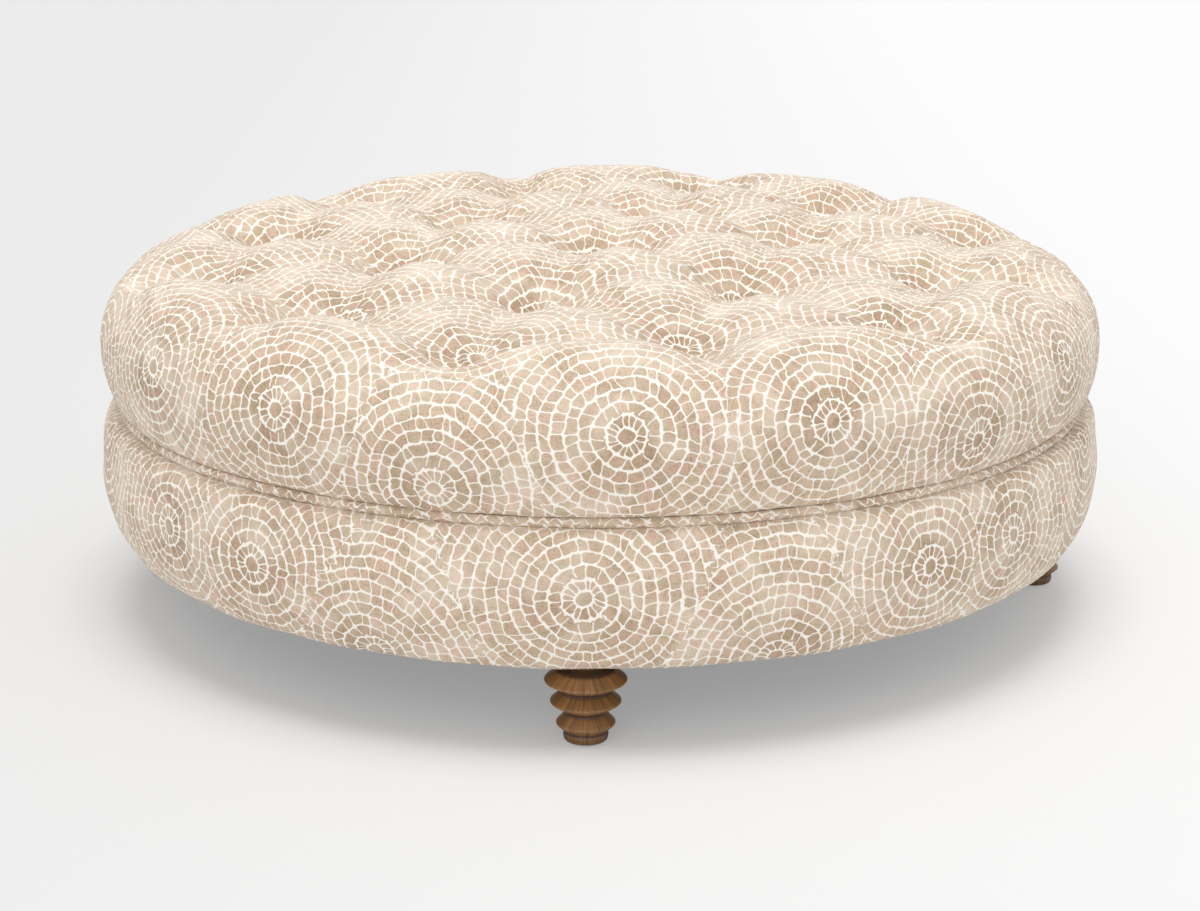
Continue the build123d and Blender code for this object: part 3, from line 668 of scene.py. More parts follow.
apron_others = [
    (mark[0] + shift, mark[1], index + len(seat_marks))
    for index, mark in enumerate(apron_marks)
    for shift in (-APRON_ROUND, 0, APRON_ROUND)
]
apron_borders = cell_borders(apron_marks, apron_others, apron_band, SIDE_STEP)
top_points = []
foot_points = []
for index, (border, neighbours) in enumerate(apron_borders):
    for height, ring in ((0.0, top_points), (apron_line.length, foot_points)):
        on_edge = np.abs(border[:, 1] - height) < SAME_POINT
        turn = border[on_edge, 0] / APRON_SWELL[0]
        ring.append(np.c_[np.cos(turn), np.sin(turn)])
    for k in np.where(neighbours < 0)[0]:
        swing = wrapped(apron_marks[:, 0] - border[k, 0], APRON_ROUND)
        apart = np.hypot(swing, apron_marks[:, 1] - border[k, 1])
        apart[index] = np.inf
        neighbours[k] = apart.argmin() + len(seat_marks)


def apron_cell_print(index, points):
    """Numbers of the apron's cells follow on from the top's."""
    return apron_print(index if index >= len(seat_marks) else index + len(seat_marks), points)


apron_parts = cloth_parts(apron_marks, apron_borders, apron_cell_print, apron_lift, SIDE_RINGS)
closing = [(APRON_INNER_RIM, APRON_TOP[1]), (APRON_INNER_RIM, LIP_TOP + CLOSING_OVERLAP)]
apron_parts.append(ring_part(np.vstack(top_points), closing))
apron_parts.append(ring_part(np.vstack(foot_points), [LIP_END, (LIP_END[0], LIP_TOP)]))
apron = mesh_piece("apron_cloth", apron_parts)
shape = bmesh.new()
shape.from_mesh(apron.data)
open_edges = [edge for edge in shape.edges if edge.is_boundary]
bmesh.ops.bridge_loops(shape, edges=open_edges)
bmesh.ops.recalc_face_normals(shape, faces=shape.faces)
shape.to_mesh(apron.data)
shape.free()

# The welt: a round cord in the same cloth, a little uneven, whose cloth is cut on the slant.
# Its beats are given as (times round, phase, share of its radius)
WELT_STEPS = 720
WELT_SIDES = 14
WELT_BEATS = ((61, 0, 0.03), (143, 1, 0.02))
WELT_CUT = 0.21
WELT_PRINT = 0.09
WELT_NEXT = np.array([1.0, 0.35])
welt_turns = np.linspace(0, TURN, WELT_STEPS, endpoint=False)
round_cord = np.linspace(0, TURN, WELT_SIDES, endpoint=False)
beat = 1 + sum(share * np.sin(times * welt_turns + phase) for times, phase, share in WELT_BEATS)
welt_r = WELT[0] + WELT_RADIUS * beat * np.cos(round_cord)[:, None]
welt_z = WELT[1] + WELT_RADIUS * np.sin(round_cord)[:, None] + 0 * welt_turns
welt_points = in_space(welt_r, welt_turns, welt_z)
welt_points = np.concatenate([welt_points, welt_points[:1]])
welt_round = np.arange(WELT_SIDES + 1)[:, None] / WELT_SIDES * TURN * WELT_RADIUS
stretch = welt_turns * WELT[0] % WELT_CUT
welt_place = np.stack([0 * welt_round + stretch, WELT_PRINT + welt_round + 0 * stretch], -1)
seam_welt = mesh_piece("seam_welt_cloth", [(welt_points, True, welt_place, welt_place + WELT_NEXT)])

# The buttons: domes in the same cloth, drawn down on the floors of the tufts. The profile
# runs from the back's middle over the edge and up the dome, as (radius, height)
BUTTON_BACK = -0.0006
BUTTON_BACK_SHARE = 0.9
BUTTON_TURN_IN = 0.0004
BUTTON_BAND_SHARE = 0.7
BUTTON_SIDES = 32
BUTTON_NEXT = np.array([1.0, 0.3])
DOME_START = 0.12
DOME_STEPS = 9
dome = np.linspace(DOME_START, TURN / 4, DOME_STEPS)
profile = np.vstack([
    (0, BUTTON_BACK),
    (BUTTON_RADIUS * BUTTON_BACK_SHARE, BUTTON_BACK),
    (BUTTON_RADIUS, BUTTON_TURN_IN),
    (BUTTON_RADIUS, BUTTON_EDGE * BUTTON_BAND_SHARE),
    np.c_[BUTTON_RADIUS * np.cos(dome), BUTTON_EDGE + (BUTTON_HEIGHT - BUTTON_EDGE) * np.sin(dome)],
])
button_parts = []
turn = np.linspace(0, TURN, BUTTON_SIDES, endpoint=False)
for index, (floor, axis) in enumerate(zip(tuft_floor, tuft_axis)):
    across = np.cross([0.0, 1.0, 0.0], axis)
    across /= np.linalg.norm(across)
    along = np.cross(axis, across)
    ring = np.cos(turn)[:, None] * across + np.sin(turn)[:, None] * along
    grid_points = floor + profile[:, 0, None, None] * ring[None] + profile[:, 1, None, None] * axis
    place = profile[:, 0, None, None] * ring[None, :, :2] + np.array([index, 0])
    button_parts.append((grid_points, True, place, place + BUTTON_NEXT))
buttons = mesh_piece("tuft_buttons_cloth", button_parts)

# The feet's places, and the cloth under the base: black, sagging a little, cut away from
# each neck to the rim
FOOT_CIRCLE = 0.545
FIRST_FOOT_TURN = math.radians(-1.6)
FOOT_TURNS = FIRST_FOOT_TURN + np.arange(4) * TURN / 4
NECK_CUT = 0.0184
NECK_SWING = 0.3
DUST_TOP = 0.0927
DUST_RIM = 0.548
DUST_THICKNESS = 0.0008
DUST_SAG = 0.0035
SAG_REACH = 0.5
RIPPLE = 0.0004
RIPPLES = 9
RIPPLE_RISE = 4
RIPPLE_FROM = 2.6
DUST_RINGS = 40
DUST_SIDES = 360
ring_share = np.linspace(0, 1, DUST_RINGS)
dust_turns = np.linspace(0, TURN, DUST_SIDES, endpoint=False)
reach = DUST_RIM * ring_share[:, None] + 0 * dust_turns
for foot_turn in FOOT_TURNS:
    swing = wrapped(dust_turns - foot_turn, TURN)
    inside = NECK_CUT**2 - (FOOT_CIRCLE * np.sin(swing)) ** 2
    at_neck = (inside > 0) & (np.abs(swing) < NECK_SWING)
    notch = FOOT_CIRCLE * np.cos(swing) - np.sqrt(np.maximum(inside, 0))
    reach = np.minimum(reach, np.where(at_neck, notch, DUST_RIM) * ring_share[:, None])
sag = DUST_SAG * np.cos(np.minimum(reach / SAG_REACH, 1) * TURN / 4) ** 2
ripple_rise = np.clip(ring_share * RIPPLE_RISE - RIPPLE_FROM, 0, 1)[:, None] ** 2
ripple = RIPPLE * np.sin(RIPPLES * dust_turns) * ripple_rise
low = DUST_TOP - DUST_THICKNESS - sag - np.abs(ripple)
under = in_space(reach, dust_turns, low)
over = under + np.array([0, 0, DUST_THICKNESS])
dust_points = np.concatenate([under, over[::-1]])[::-1]
dust_place = dust_points[..., :2]
dust_cloth = mesh_piece("dust_cloth", [(dust_points, True, dust_place, dust_place)])

# The feet's outline in millimetres, from the middle of the sole up to the base, as (radius,
# height): toe, three beads with pointed rims and straight flanks, cove and neck
FOOT_OUTLINE = np.array([
    (0.0, 2.0), (22.4, 2.0), (23.6, 3.2), (24.8, 10.4), (22.4, 12.2), (32.9, 21.5),
    (21.0, 33.9), (39.4, 45.9), (24.8, 58.3), (45.7, 70.3), (30.0, 82.0), (22.0, 84.5),
    (18.0, 88.0), (17.0, 90.5), (17.0, 94.0), (0.0, 94.0),
]) * MM
FOOT_STEP = 0.0006
FOOT_EASE = 4
FOOT_SIDES = 80
length = np.r_[0, np.cumsum(np.hypot(*np.diff(FOOT_OUTLINE, axis=0).T))]
steps = np.linspace(0, length[-1], round(length[-1] / FOOT_STEP))
outline = [np.interp(steps, length, FOOT_OUTLINE[:, side]) for side in (0, 1)]
# each place is the mean of its neighbours, which eases the rims and the grooves
window = np.ones(2 * FOOT_EASE + 1) / (2 * FOOT_EASE + 1)
for values in outline:
    values[FOOT_EASE:-FOOT_EASE] = np.convolve(values, window, mode="valid")
foot_r, foot_z = (values[::-1, None] for values in outline)
sides = np.linspace(0, TURN, FOOT_SIDES, endpoint=False)
# the finish reads the way out from a foot's middle, so that its streaks run up the foot
way_out = np.stack([np.cos(sides) + 0 * foot_r, np.sin(sides) + 0 * foot_r], -1)
foot_parts = []
for foot_turn in FOOT_TURNS:
    x = FOOT_CIRCLE * np.cos(foot_turn) + foot_r * np.cos(sides)
    y = FOOT_CIRCLE * np.sin(foot_turn) + foot_r * np.sin(sides)
    foot_parts.append((np.stack([x, y, foot_z + 0 * sides], -1), True, way_out, way_out))
turned_feet = mesh_piece("turned_feet", foot_parts)


def colour(code):
    """An sRGB hex colour as linear light, by the sRGB standard's curve, with full cover."""
    linear = []
    for start in (1, 3, 5):
        part = int(code[start : start + 2], 16) / 255
        linear.append(part / 12.92 if part <= 0.04045 else ((part + 0.055) / 1.055) ** 2.4)
    return [*linear, 1.0]


def feed(tree, node, *links, **named):
    """Gives a node's inputs their values, or the sockets that they read: the first ones in
    order, and others by name, with an underscore for each space."""
    by_name = [(name.replace("_", " "), value) for name, value in named.items()]
    for key, value in [*enumerate(links), *by_name]:
        if value is None:
            continue
        socket = node.inputs[key]
        if isinstance(value, bpy.types.NodeSocket):
            tree.links.new(value, socket)
        else:
            socket.default_value = value


def add(tree, kind, *links, get=0, **settings):
    """Adds a node of a kind, such as "Math", or "Math SUBTRACT" with its operation.

    The links feed its inputs in order, and a setting in the form in_NAME feeds the input
    of that name. It gives back the output that get names, or the node where get is None."""
    kind, _, operation = kind.partition(" ")
    node = tree.nodes.new(kind if kind.startswith("Node") else "ShaderNode" + kind)
    if operation:
        node.operation = operation
    named = {}
    for name, value in settings.items():
        if name.startswith("in_"):
            named[name.removeprefix("in_")] = value
        else:
            setattr(node, name, value)
    feed(tree, node, *links, **named)
    return node if get is None else node.outputs[get]


def new_material(name):
    """A material with a Principled shader joined to its output, and the place on the
    object that its textures read."""
    material = bpy.data.materials.new(name)
    material.use_nodes = True
    tree = material.node_tree
    tree.nodes.clear()
    shader = add(tree, "BsdfPrincipled", get=None)
    out = add(tree, "OutputMaterial", get=None)
    tree.links.new(shader.outputs[0], out.inputs[0])
    return material, tree, shader, add(tree, "TexCoord", get="Object")


def ramp(tree, value, *stops):
    """A colour ramp over a value, with stops of (place, hex colour)."""
    node = add(tree, "ValToRGB", value, get=None)
    band = node.color_ramp
    while len(band.elements) < len(stops):
        band.elements.new(0.5)
    for element, (place, code) in zip(band.elements, stops):
        element.position = place
        element.color = colour(code)
    return node.outputs[0]


# One rosette of the print, in millimetres from its middle: rings of tiles, each ring cut
# by radial joints, both a little uneven as if laid by hand. The widths of the rings, the
# lengths of the tiles round them, and the grout and corners between
DISC = 9.2
PETALS = 13.0
COLLAR = 15.0
PITCH = 13.3
OUTER_RINGS = 40
TILE = 13.6
PETAL = 6.6
GROUT = 0.6
CORNER = 2.6
CUT = 0.8
SLANT = 0.075
JOINT_SHIFT = 0.46
DISC_CLEAR = 9.0
NEARLY = 0.1
RING_KEY = 7.0
TILE_KEY = (0.5, 0.25, 0.5)

rosette = bpy.data.node_groups.new("rosette of hand-laid tiles", "ShaderNodeTree")
for label, side, kind in (
    ("Place", "INPUT", "Vector"),
    ("Seed", "INPUT", "Float"),
    ("Inside", "OUTPUT", "Float"),
    ("Middle", "OUTPUT", "Vector"),
    ("Tile", "OUTPUT", "Vector"),
):
    rosette.interface.new_socket(label, in_out=side, socket_type="NodeSocket" + kind)
t = rosette
entry = add(t, "NodeGroupInput", get=None)
place = entry.outputs[0]
seed = entry.outputs[1]
part = add(t, "SeparateXYZ", place, get=None)
reach = add(t, "VectorMath LENGTH", place, get="Value")
swing = add(t, "Math ARCTAN2", part.outputs[1], part.outputs[0])
swing = add(t, "Math DIVIDE", swing, TURN)
swing = add(t, "Math ADD", swing, 0.5)
# rings: a count of rings passed, each stretch of it one ring wide
passed = add(t, "MapRange", reach, 0.0, DISC, 0.0, 1.0)
inner = DISC
for stretch, rings in ((PETALS, 1), (COLLAR, 1), (PITCH, OUTER_RINGS)):
    more = add(t, "MapRange", reach, inner, inner + rings * stretch, 0.0, rings)
    passed = add(t, "Math ADD", passed, more)
    inner += rings * stretch
ring = add(t, "Math FLOOR", passed)
share = add(t, "Math SUBTRACT", passed, ring)
is_disc = add(t, "Math COMPARE", ring, 0.0, NEARLY)
is_petal = add(t, "Math COMPARE", ring, 1.0, NEARLY)
width = add(t, "Math MULTIPLY_ADD", is_disc, DISC - PITCH, PITCH)
width = add(t, "Math MULTIPLY_ADD", is_petal, PETALS - PITCH, width)
off = add(t, "Math SUBTRACT", share, 0.5)
off = add(t, "Math MULTIPLY", off, width)
ring_reach = add(t, "Math SUBTRACT", reach, off)
# joints: how many tiles go round the ring, and the nearest joint, each moved by chance
tile = add(t, "Math MULTIPLY_ADD", is_petal, PETAL - TILE, TILE)
count = add(t, "Math MULTIPLY", ring_reach, TURN)
count = add(t, "Math DIVIDE", count, tile)
count = add(t, "Math ROUND", count)
count = add(t, "Math MAXIMUM", count, 1.0)
ring_key = add(t, "CombineXYZ", ring, seed, RING_KEY)
phase = add(t, "TexWhiteNoise", ring_key, get="Value")
turn_on = add(t, "Math ADD", swing, phase)
turn_on = add(t, "Math MULTIPLY", turn_on, count)
joint = add(t, "Math ROUND", turn_on)
joint_turn = add(t, "Math FLOORED_MODULO", joint, count)
joint_key = add(t, "CombineXYZ", joint_turn, ring, seed)
chance = add(t, "TexWhiteNoise", joint_key, get="Value")
shift = add(t, "Math SUBTRACT", chance, 0.5)
slant = add(t, "TexWhiteNoise", joint_key, get="Color")
slant = add(t, "SeparateXYZ", slant, get=1)
slant = add(t, "Math SUBTRACT", slant, 0.5)
slant = add(t, "Math MULTIPLY", slant, off)
slant = add(t, "Math MULTIPLY", slant, SLANT)
joint_at = add(t, "Math MULTIPLY_ADD", shift, JOINT_SHIFT, joint)
joint_at = add(t, "Math ADD", joint_at, slant)
past = add(t, "Math SUBTRACT", turn_on, joint_at)
behind = add(t, "Math LESS_THAN", past, 0.0)
own_tile = add(t, "Math SUBTRACT", joint, behind)
own_turn = add(t, "Math FLOORED_MODULO", own_tile, count)
arc_length = add(t, "Math MULTIPLY", reach, TURN)
arc_length = add(t, "Math DIVIDE", arc_length, count)
gap_round = add(t, "Math ABSOLUTE", past)
gap_round = add(t, "Math MULTIPLY", gap_round, arc_length)
gap_round = add(t, "Math MULTIPLY_ADD", is_disc, DISC_CLEAR, gap_round)
# each tile is cut short by chance at its inner and at its outer edge
tile_key = add(t, "CombineXYZ", own_turn, ring, seed)
tile_key = add(t, "VectorMath ADD", tile_key, TILE_KEY)
cut = add(t, "TexWhiteNoise", tile_key, get="Color")
cut = add(t, "VectorMath SCALE", cut, in_Scale=CUT)
cut = add(t, "SeparateXYZ", cut, get=None)
far = add(t, "Math SUBTRACT", 1.0, share)
far = add(t, "Math MULTIPLY", far, width)
far = add(t, "Math SUBTRACT", far, cut.outputs[0])
near = add(t, "Math MULTIPLY_ADD", is_disc, 2.0, share)
near = add(t, "Math MULTIPLY", near, width)
near = add(t, "Math SUBTRACT", near, cut.outputs[1])
gap_out = add(t, "Math MINIMUM", near, far)
over = []
for gap in (gap_out, gap_round):
    short = add(t, "Math SUBTRACT", CORNER + GROUT, gap)
    over.append(add(t, "Math MAXIMUM", short, 0.0))
corner = add(t, "CombineXYZ", *over, 0.0)
corner = add(t, "VectorMath LENGTH", corner, get="Value")
inside = add(t, "Math SUBTRACT", CORNER, corner)
middle_turn = add(t, "Math ADD", own_tile, 0.5)
middle_turn = add(t, "Math DIVIDE", middle_turn, count)
middle_turn = add(t, "Math SUBTRACT", middle_turn, phase)
middle_turn = add(t, "Math SUBTRACT", middle_turn, 0.5)
middle_turn = add(t, "Math MULTIPLY", middle_turn, TURN)
middle_x = add(t, "Math COSINE", middle_turn)
middle_y = add(t, "Math SINE", middle_turn)
middle_way = add(t, "CombineXYZ", middle_x, middle_y, 0.0)
middle = add(t, "VectorMath SCALE", middle_way, in_Scale=ring_reach)
add(t, "NodeGroupOutput", inside, middle, tile_key, get=None)

# Linen with a mosaic print: a dry, matt cloth whose slubs break up the printed tiles. The
# scales are repeats a metre: the hand's waver over two tiles, and its shake inside one, both
# as far as given in millimetres, the blush over a tile's width, and the wash over a palm's
WAVER_SCALE = 34.0
WAVER_FAR = 9.0
SHAKE_SCALE = 120.0
SHAKE_FAR = 4.5
BLUSH_SCALE = 70.0
BLUSH_SHARE = 0.5
WASH_SCALE = 21.0
WASH_SHARE = 0.46
# how much paler the cloth is painted where it faces up: a painted highlight
TOP_HIGHLIGHT_SHARE = 0.3
# threads, drawn 2 mm apart, which is coarser than linen's, so that they show
THREAD_LONG = 0.11
THREAD_CLOSE = 1.1
THREAD_HEIGHT = 0.0006
THREAD_SHARE = 0.9
FRAY = 0.6
MIDDLE_NEAR = 20.0
MIDDLE_FAR = 75.0
HALF = (0.5, 0.5, 0.5)
linen, tree, shader, where = new_material("printed linen, mosaic")


def print_place(layer):
    """The place on the cloth in millimetres and the rosette's number, from a UV layer."""
    source = add(tree, "UVMap", uv_map=layer)
    part = add(tree, "SeparateXYZ", source, get=None)
    number = add(tree, "Math ROUND", part.outputs[0])
    across = add(tree, "Math SUBTRACT", part.outputs[0], number)
    flat = add(tree, "CombineXYZ", across, part.outputs[1], 0.0)
    return add(tree, "VectorMath SCALE", flat, in_Scale=1 / MM), number


strays = []
for scale, far in ((WAVER_SCALE, WAVER_FAR), (SHAKE_SCALE, SHAKE_FAR)):
    stray = add(tree, "TexNoise", in_Vector=where, in_Scale=scale, in_Detail=1.0, get="Color")
    stray = add(tree, "VectorMath SUBTRACT", stray, HALF)
    strays.append(add(tree, "VectorMath SCALE", stray, in_Scale=far))
waver = add(tree, "VectorMath ADD", *strays)
found = []
for layer in ("print", "next print"):
    flat, number = print_place(layer)
    moved = add(tree, "VectorMath ADD", flat, waver)
    drawn = add(tree, "Group", node_tree=rosette, get=None)
    feed(tree, drawn, Place=moved, Seed=number)
    found.append((flat, drawn.outputs["Inside"], drawn.outputs["Middle"], drawn.outputs["Tile"]))
(own_flat, own_in, own_middle, own_tile), (next_flat, next_in, next_middle, next_tile) = found
between = add(tree, "VectorMath SUBTRACT", own_flat, next_flat)
# a tile is laid if its middle is nearer to its own rosette; where both or neither are,
# the surer one wins, or the scrap that both leave is laid
own_far = add(tree, "VectorMath DISTANCE", own_middle, between, get="Value")
own_near = add(tree, "VectorMath LENGTH", own_middle, get="Value")
own_sure = add(tree, "Math SUBTRACT", own_far, own_near)
back = add(tree, "VectorMath ADD", next_middle, between)
next_far = add(tree, "VectorMath LENGTH", back, get="Value")
next_near = add(tree, "VectorMath LENGTH", next_middle, get="Value")
next_sure = add(tree, "Math SUBTRACT", next_far, next_near)
rival = add(tree, "Math MAXIMUM", next_sure, 0.0)
take_own = add(tree, "Math GREATER_THAN", own_sure, rival)
rival = add(tree, "Math MAXIMUM", own_sure, 0.0)
take_next = add(tree, "Math GREATER_THAN", next_sure, rival)
scrap = add(tree, "Math MINIMUM", own_in, next_in)
inside = add(tree, "Mix", data_type="FLOAT", in_Factor=take_next, in_A=scrap, in_B=next_in)
inside = add(tree, "Mix", data_type="FLOAT", in_Factor=take_own, in_A=inside, in_B=own_in)
# the fifth and sixth sockets are a Mix node's vectors, the second its vector result
tile_key = add(tree, "Mix", take_own, None, None, None, next_tile, own_tile, data_type="VECTOR", get=1)
chance = add(tree, "TexWhiteNoise", tile_key, get="Value")
ways = []
for stretch in ((THREAD_LONG, THREAD_CLOSE, 1.0), (THREAD_CLOSE, THREAD_LONG, 1.0)):
    fine = add(tree, "Mapping", own_flat, in_Scale=stretch)
    ways.append(add(tree, "TexNoise", noise_dimensions="2D", in_Vector=fine, in_Scale=1.0, in_Detail=2.0))
threads = add(tree, "Math ADD", *ways)
threads = add(tree, "MapRange", threads, 0.74, 1.24, 0.0, 1.0)
fray = add(tree, "Math ADD", threads, -0.5)
inside = add(tree, "Math MULTIPLY_ADD", fray, FRAY, inside)
cover = add(tree, "MapRange", inside, -0.35, 0.45, 0.0, 1.0, interpolation_type="SMOOTHSTEP")
tints = ((0.0, "#c1ab96"), (0.3, "#d4bea9"), (0.6, "#e2c9b6"), (0.8, "#d3c2a8"), (1.0, "#ebdac8"))
tint = ramp(tree, chance, *tints)
blush = add(tree, "TexNoise", in_Vector=where, in_Scale=BLUSH_SCALE, in_Detail=2.0)
blush = ramp(tree, blush, (0.36, "#c2b394"), (0.5, "#d2bca3"), (0.64, "#dfbaa9"))
mixed = add(tree, "MixRGB", BLUSH_SHARE, tint, blush)
# the tiles round the middle of a rosette are printed darker than those far out
from_middle = add(tree, "Mix", data_type="FLOAT", in_Factor=take_own, in_A=next_near, in_B=own_near)
depth = add(tree, "MapRange", from_middle, MIDDLE_NEAR, MIDDLE_FAR, 0.0, 1.0)
depth = ramp(tree, depth, (0.0, "#e6e0d9"), (1.0, "#ffffff"))
mixed = add(tree, "MixRGB", 1.0, mixed, depth, blend_type="MULTIPLY")
dark = ramp(tree, threads, (0.0, "#d2c9bd"), (0.5, "#f6f3ee"), (1.0, "#ffffff"))
mixed = add(tree, "MixRGB", THREAD_SHARE, mixed, dark, blend_type="MULTIPLY")
# the print is washed out in patches, and painted paler where the cloth faces up, a painted highlight of the
# light from above
wash_and_highlight = add(tree, "TexNoise", in_Vector=where, in_Scale=WASH_SCALE, in_Detail=3.0)
wash_and_highlight = add(tree, "MapRange", wash_and_highlight, 0.44, 0.68, 0.0, WASH_SHARE)
# painted highlight: a pale colour mixed in where the normal points up
upright = add(tree, "SeparateXYZ", add(tree, "NewGeometry", get="Normal"), get=2)
upright = add(tree, "MapRange", upright, 0.93, 1.0, 0.0, TOP_HIGHLIGHT_SHARE)
wash_and_highlight = add(tree, "Math ADD", wash_and_highlight, upright)
mixed = add(tree, "MixRGB", wash_and_highlight, mixed, colour("#f2e5d2"))
ground = ramp(tree, threads, (0.0, "#f1eade"), (0.5, "#faf5ec"), (1.0, "#fefbf5"))
mixed = add(tree, "MixRGB", cover, ground, mixed)
weave = add(tree, "Bump", in_Strength=0.35, in_Distance=THREAD_HEIGHT, in_Height=threads)
feed(tree, shader, Base_Color=mixed, Normal=weave, Roughness=0.88)
feed(tree, shader, Specular_IOR_Level=0.25, Sheen_Weight=0.12, Sheen_Roughness=0.5)

# Turned beech in a brown stain: fine dark pores drawn out up the foot, and painted shade
# in the grooves between the beads and on the toe. The scales are repeats over a foot's
# radius, and up it over a metre
PORES = (30.0, 30.0, 40.0)
FIGURE = (11.0, 11.0, 12.0)
PORE_SHARE = 0.45
PORE_DEPTH = 0.0004
BEAD_PITCH = 0.0244
GROOVE_HEIGHT = 0.0353
TOE_TOP = 0.0108
# how dark the painted shade is in the grooves and on the toe
GROOVE_SHADE_SHARE = 0.85
TOE_SHADE_SHARE = 0.38
beech, tree, shader, where = new_material("turned beech, brown stain")
height = add(tree, "SeparateXYZ", where, get=2)
way = add(tree, "SeparateXYZ", add(tree, "UVMap", uv_map="print"), get=None)
around = add(tree, "CombineXYZ", way.outputs[0], way.outputs[1], height)
long = add(tree, "Mapping", around, in_Scale=PORES)
pores = add(tree, "TexNoise", in_Vector=long, in_Scale=1.0, in_Detail=4.0)
long = add(tree, "Mapping", around, in_Scale=FIGURE)
figure = add(tree, "TexNoise", in_Vector=long, in_Scale=1.0, in_Detail=3.0)
tone = ramp(tree, figure, (0.3, "#74502e"), (0.5, "#8f663b"), (0.72, "#a07447"))
flecks = ramp(tree, pores, (0.36, "#5a3f2a"), (0.5, "#ffffff"))
tone = add(tree, "MixRGB", PORE_SHARE, tone, flecks, blend_type="MULTIPLY")
beads = add(tree, "Math SUBTRACT", height, GROOVE_HEIGHT)
beads = add(tree, "Math MULTIPLY", beads, TURN / BEAD_PITCH)
beads = add(tree, "Math COSINE", beads)
above_toe = add(tree, "Math GREATER_THAN", height, TOE_TOP)
# painted shade: dark brown mixed in on the bead flanks by each groove, and on the toe
painted_groove_shade = add(tree, "MapRange", beads, 0.4, 0.95, 0.0, GROOVE_SHADE_SHARE, interpolation_type="SMOOTHSTEP")
painted_groove_shade = add(tree, "Math MULTIPLY", painted_groove_shade, above_toe)
on_toe = add(tree, "Math SUBTRACT", 1.0, above_toe)
painted_groove_shade = add(tree, "Math MULTIPLY_ADD", on_toe, TOE_SHADE_SHARE, painted_groove_shade)
tone = add(tree, "MixRGB", painted_groove_shade, tone, colour("#33231a"))
shine = add(tree, "MapRange", pores, 0.3, 0.7, 0.52, 0.36)
grain = add(tree, "Bump", in_Strength=0.3, in_Distance=PORE_DEPTH, in_Height=pores)
feed(tree, shader, Base_Color=tone, Roughness=shine, Normal=grain)

# Spun-bonded dust cloth: black, dull, with the faint dimples of its bonding, 2 mm apart
BOND_SCALE = 450.0
BOND_DEPTH = 0.0003
dust, tree, shader, where = new_material("spun-bonded cloth, black")
dots = add(
    tree,
    "TexVoronoi",
    voronoi_dimensions="2D",
    in_Vector=where,
    in_Scale=BOND_SCALE,
    in_Randomness=0.25,
    get="Distance",
)
shade = ramp(tree, dots, (0.0, "#1a1a1b"), (0.6, "#2a2a2b"))
press = add(tree, "Bump", in_Strength=0.5, in_Distance=BOND_DEPTH, in_Height=dots)
feed(tree, shader, Base_Color=shade, Roughness=0.92, Normal=press)

# Birch plywood: pale faces with long figure, and on the edges a thin dark glue line for
# every two plies
PLY_FIGURE = (9.0, 120.0, 9.0)
TWO_PLIES = 0.0028
plywood, tree, shader, where = new_material("birch plywood, sanded")
long = add(tree, "Mapping", where, in_Scale=PLY_FIGURE)
figure = add(tree, "TexNoise", in_Vector=long, in_Scale=1.0, in_Detail=5.0)
tone = ramp(tree, figure, (0.35, "#c9a877"), (0.55, "#dcc095"), (0.75, "#e7d0aa"))
height = add(tree, "SeparateXYZ", where, get=2)
plies = add(tree, "Math MULTIPLY", height, TURN / TWO_PLIES)
plies = add(tree, "Math SINE", plies)
facing = add(tree, "SeparateXYZ", add(tree, "NewGeometry", get="Normal"), get=2)
facing = add(tree, "Math ABSOLUTE", facing)
on_edge = add(tree, "Math LESS_THAN", facing, 0.5)
glue = add(tree, "MapRange", plies, 0.7, 1.0, 0.0, 0.6)
glue = add(tree, "Math MULTIPLY", glue, on_edge)
tone = add(tree, "MixRGB", glue, tone, colour("#8c6a44"))
feed(tree, shader, Base_Color=tone, Roughness=0.62)

# Planed pine: straight yellow grain with darker late wood every few millimetres
PINE_RINGS = 60.0
PINE_CLOUD = 9.0
pine, tree, shader, where = new_material("pine, planed")
bend = add(tree, "TexNoise", in_Vector=where, in_Scale=PINE_CLOUD)
rings = add(
    tree,
    "TexWave",
    in_Vector=where,
    in_Scale=PINE_RINGS,
    in_Distortion=3.0,
    in_Detail=2.0,
    in_Detail_Scale=1.5,
    get="Fac",
)
tone = ramp(tree, rings, (0.0, "#e3c58f"), (0.7, "#d9b479"), (1.0, "#b98a50"))
tone = add(tree, "MixRGB", bend, tone, colour("#dcbc86"))
feed(tree, shader, Base_Color=tone, Roughness=0.6)

# Bent hardboard: brown pressed fibre, smooth with a fine speckle
FIBRE_SCALE = 700.0
hardboard, tree, shader, where = new_material("hardboard, pressed")
speck = add(tree, "TexNoise", in_Vector=where, in_Scale=FIBRE_SCALE, in_Detail=3.0)
tone = ramp(tree, speck, (0.35, "#6d4c30"), (0.6, "#86603f"), (0.8, "#9c7550"))
feed(tree, shader, Base_Color=tone, Roughness=0.7)

# Zinc-plated steel: bright grey metal with a cloudy blue and straw cast
ZINC_SCALE = 180.0
steel, tree, shader, where = new_material("steel, zinc-plated")
cloud = add(tree, "TexNoise", in_Vector=where, in_Scale=ZINC_SCALE, in_Detail=3.0)
tone = ramp(tree, cloud, (0.3, "#b9bcc0"), (0.55, "#c9c9c6"), (0.75, "#cfc8b8"))
dull = add(tree, "MapRange", cloud, 0.3, 0.7, 0.28, 0.45)
feed(tree, shader, Base_Color=tone, Metallic=1.0, Roughness=dull)

# Waxed polyester twine: pale twisted strands
STRAND_SCALE = 300.0
twine, tree, shader, where = new_material("twine, waxed polyester")
twist = add(tree, "TexWave", in_Vector=where, in_Scale=STRAND_SCALE, bands_direction="DIAGONAL", get="Fac")
tone = ramp(tree, twist, (0.0, "#cfc8b6"), (1.0, "#ece7da"))
feed(tree, shader, Base_Color=tone, Roughness=0.55)

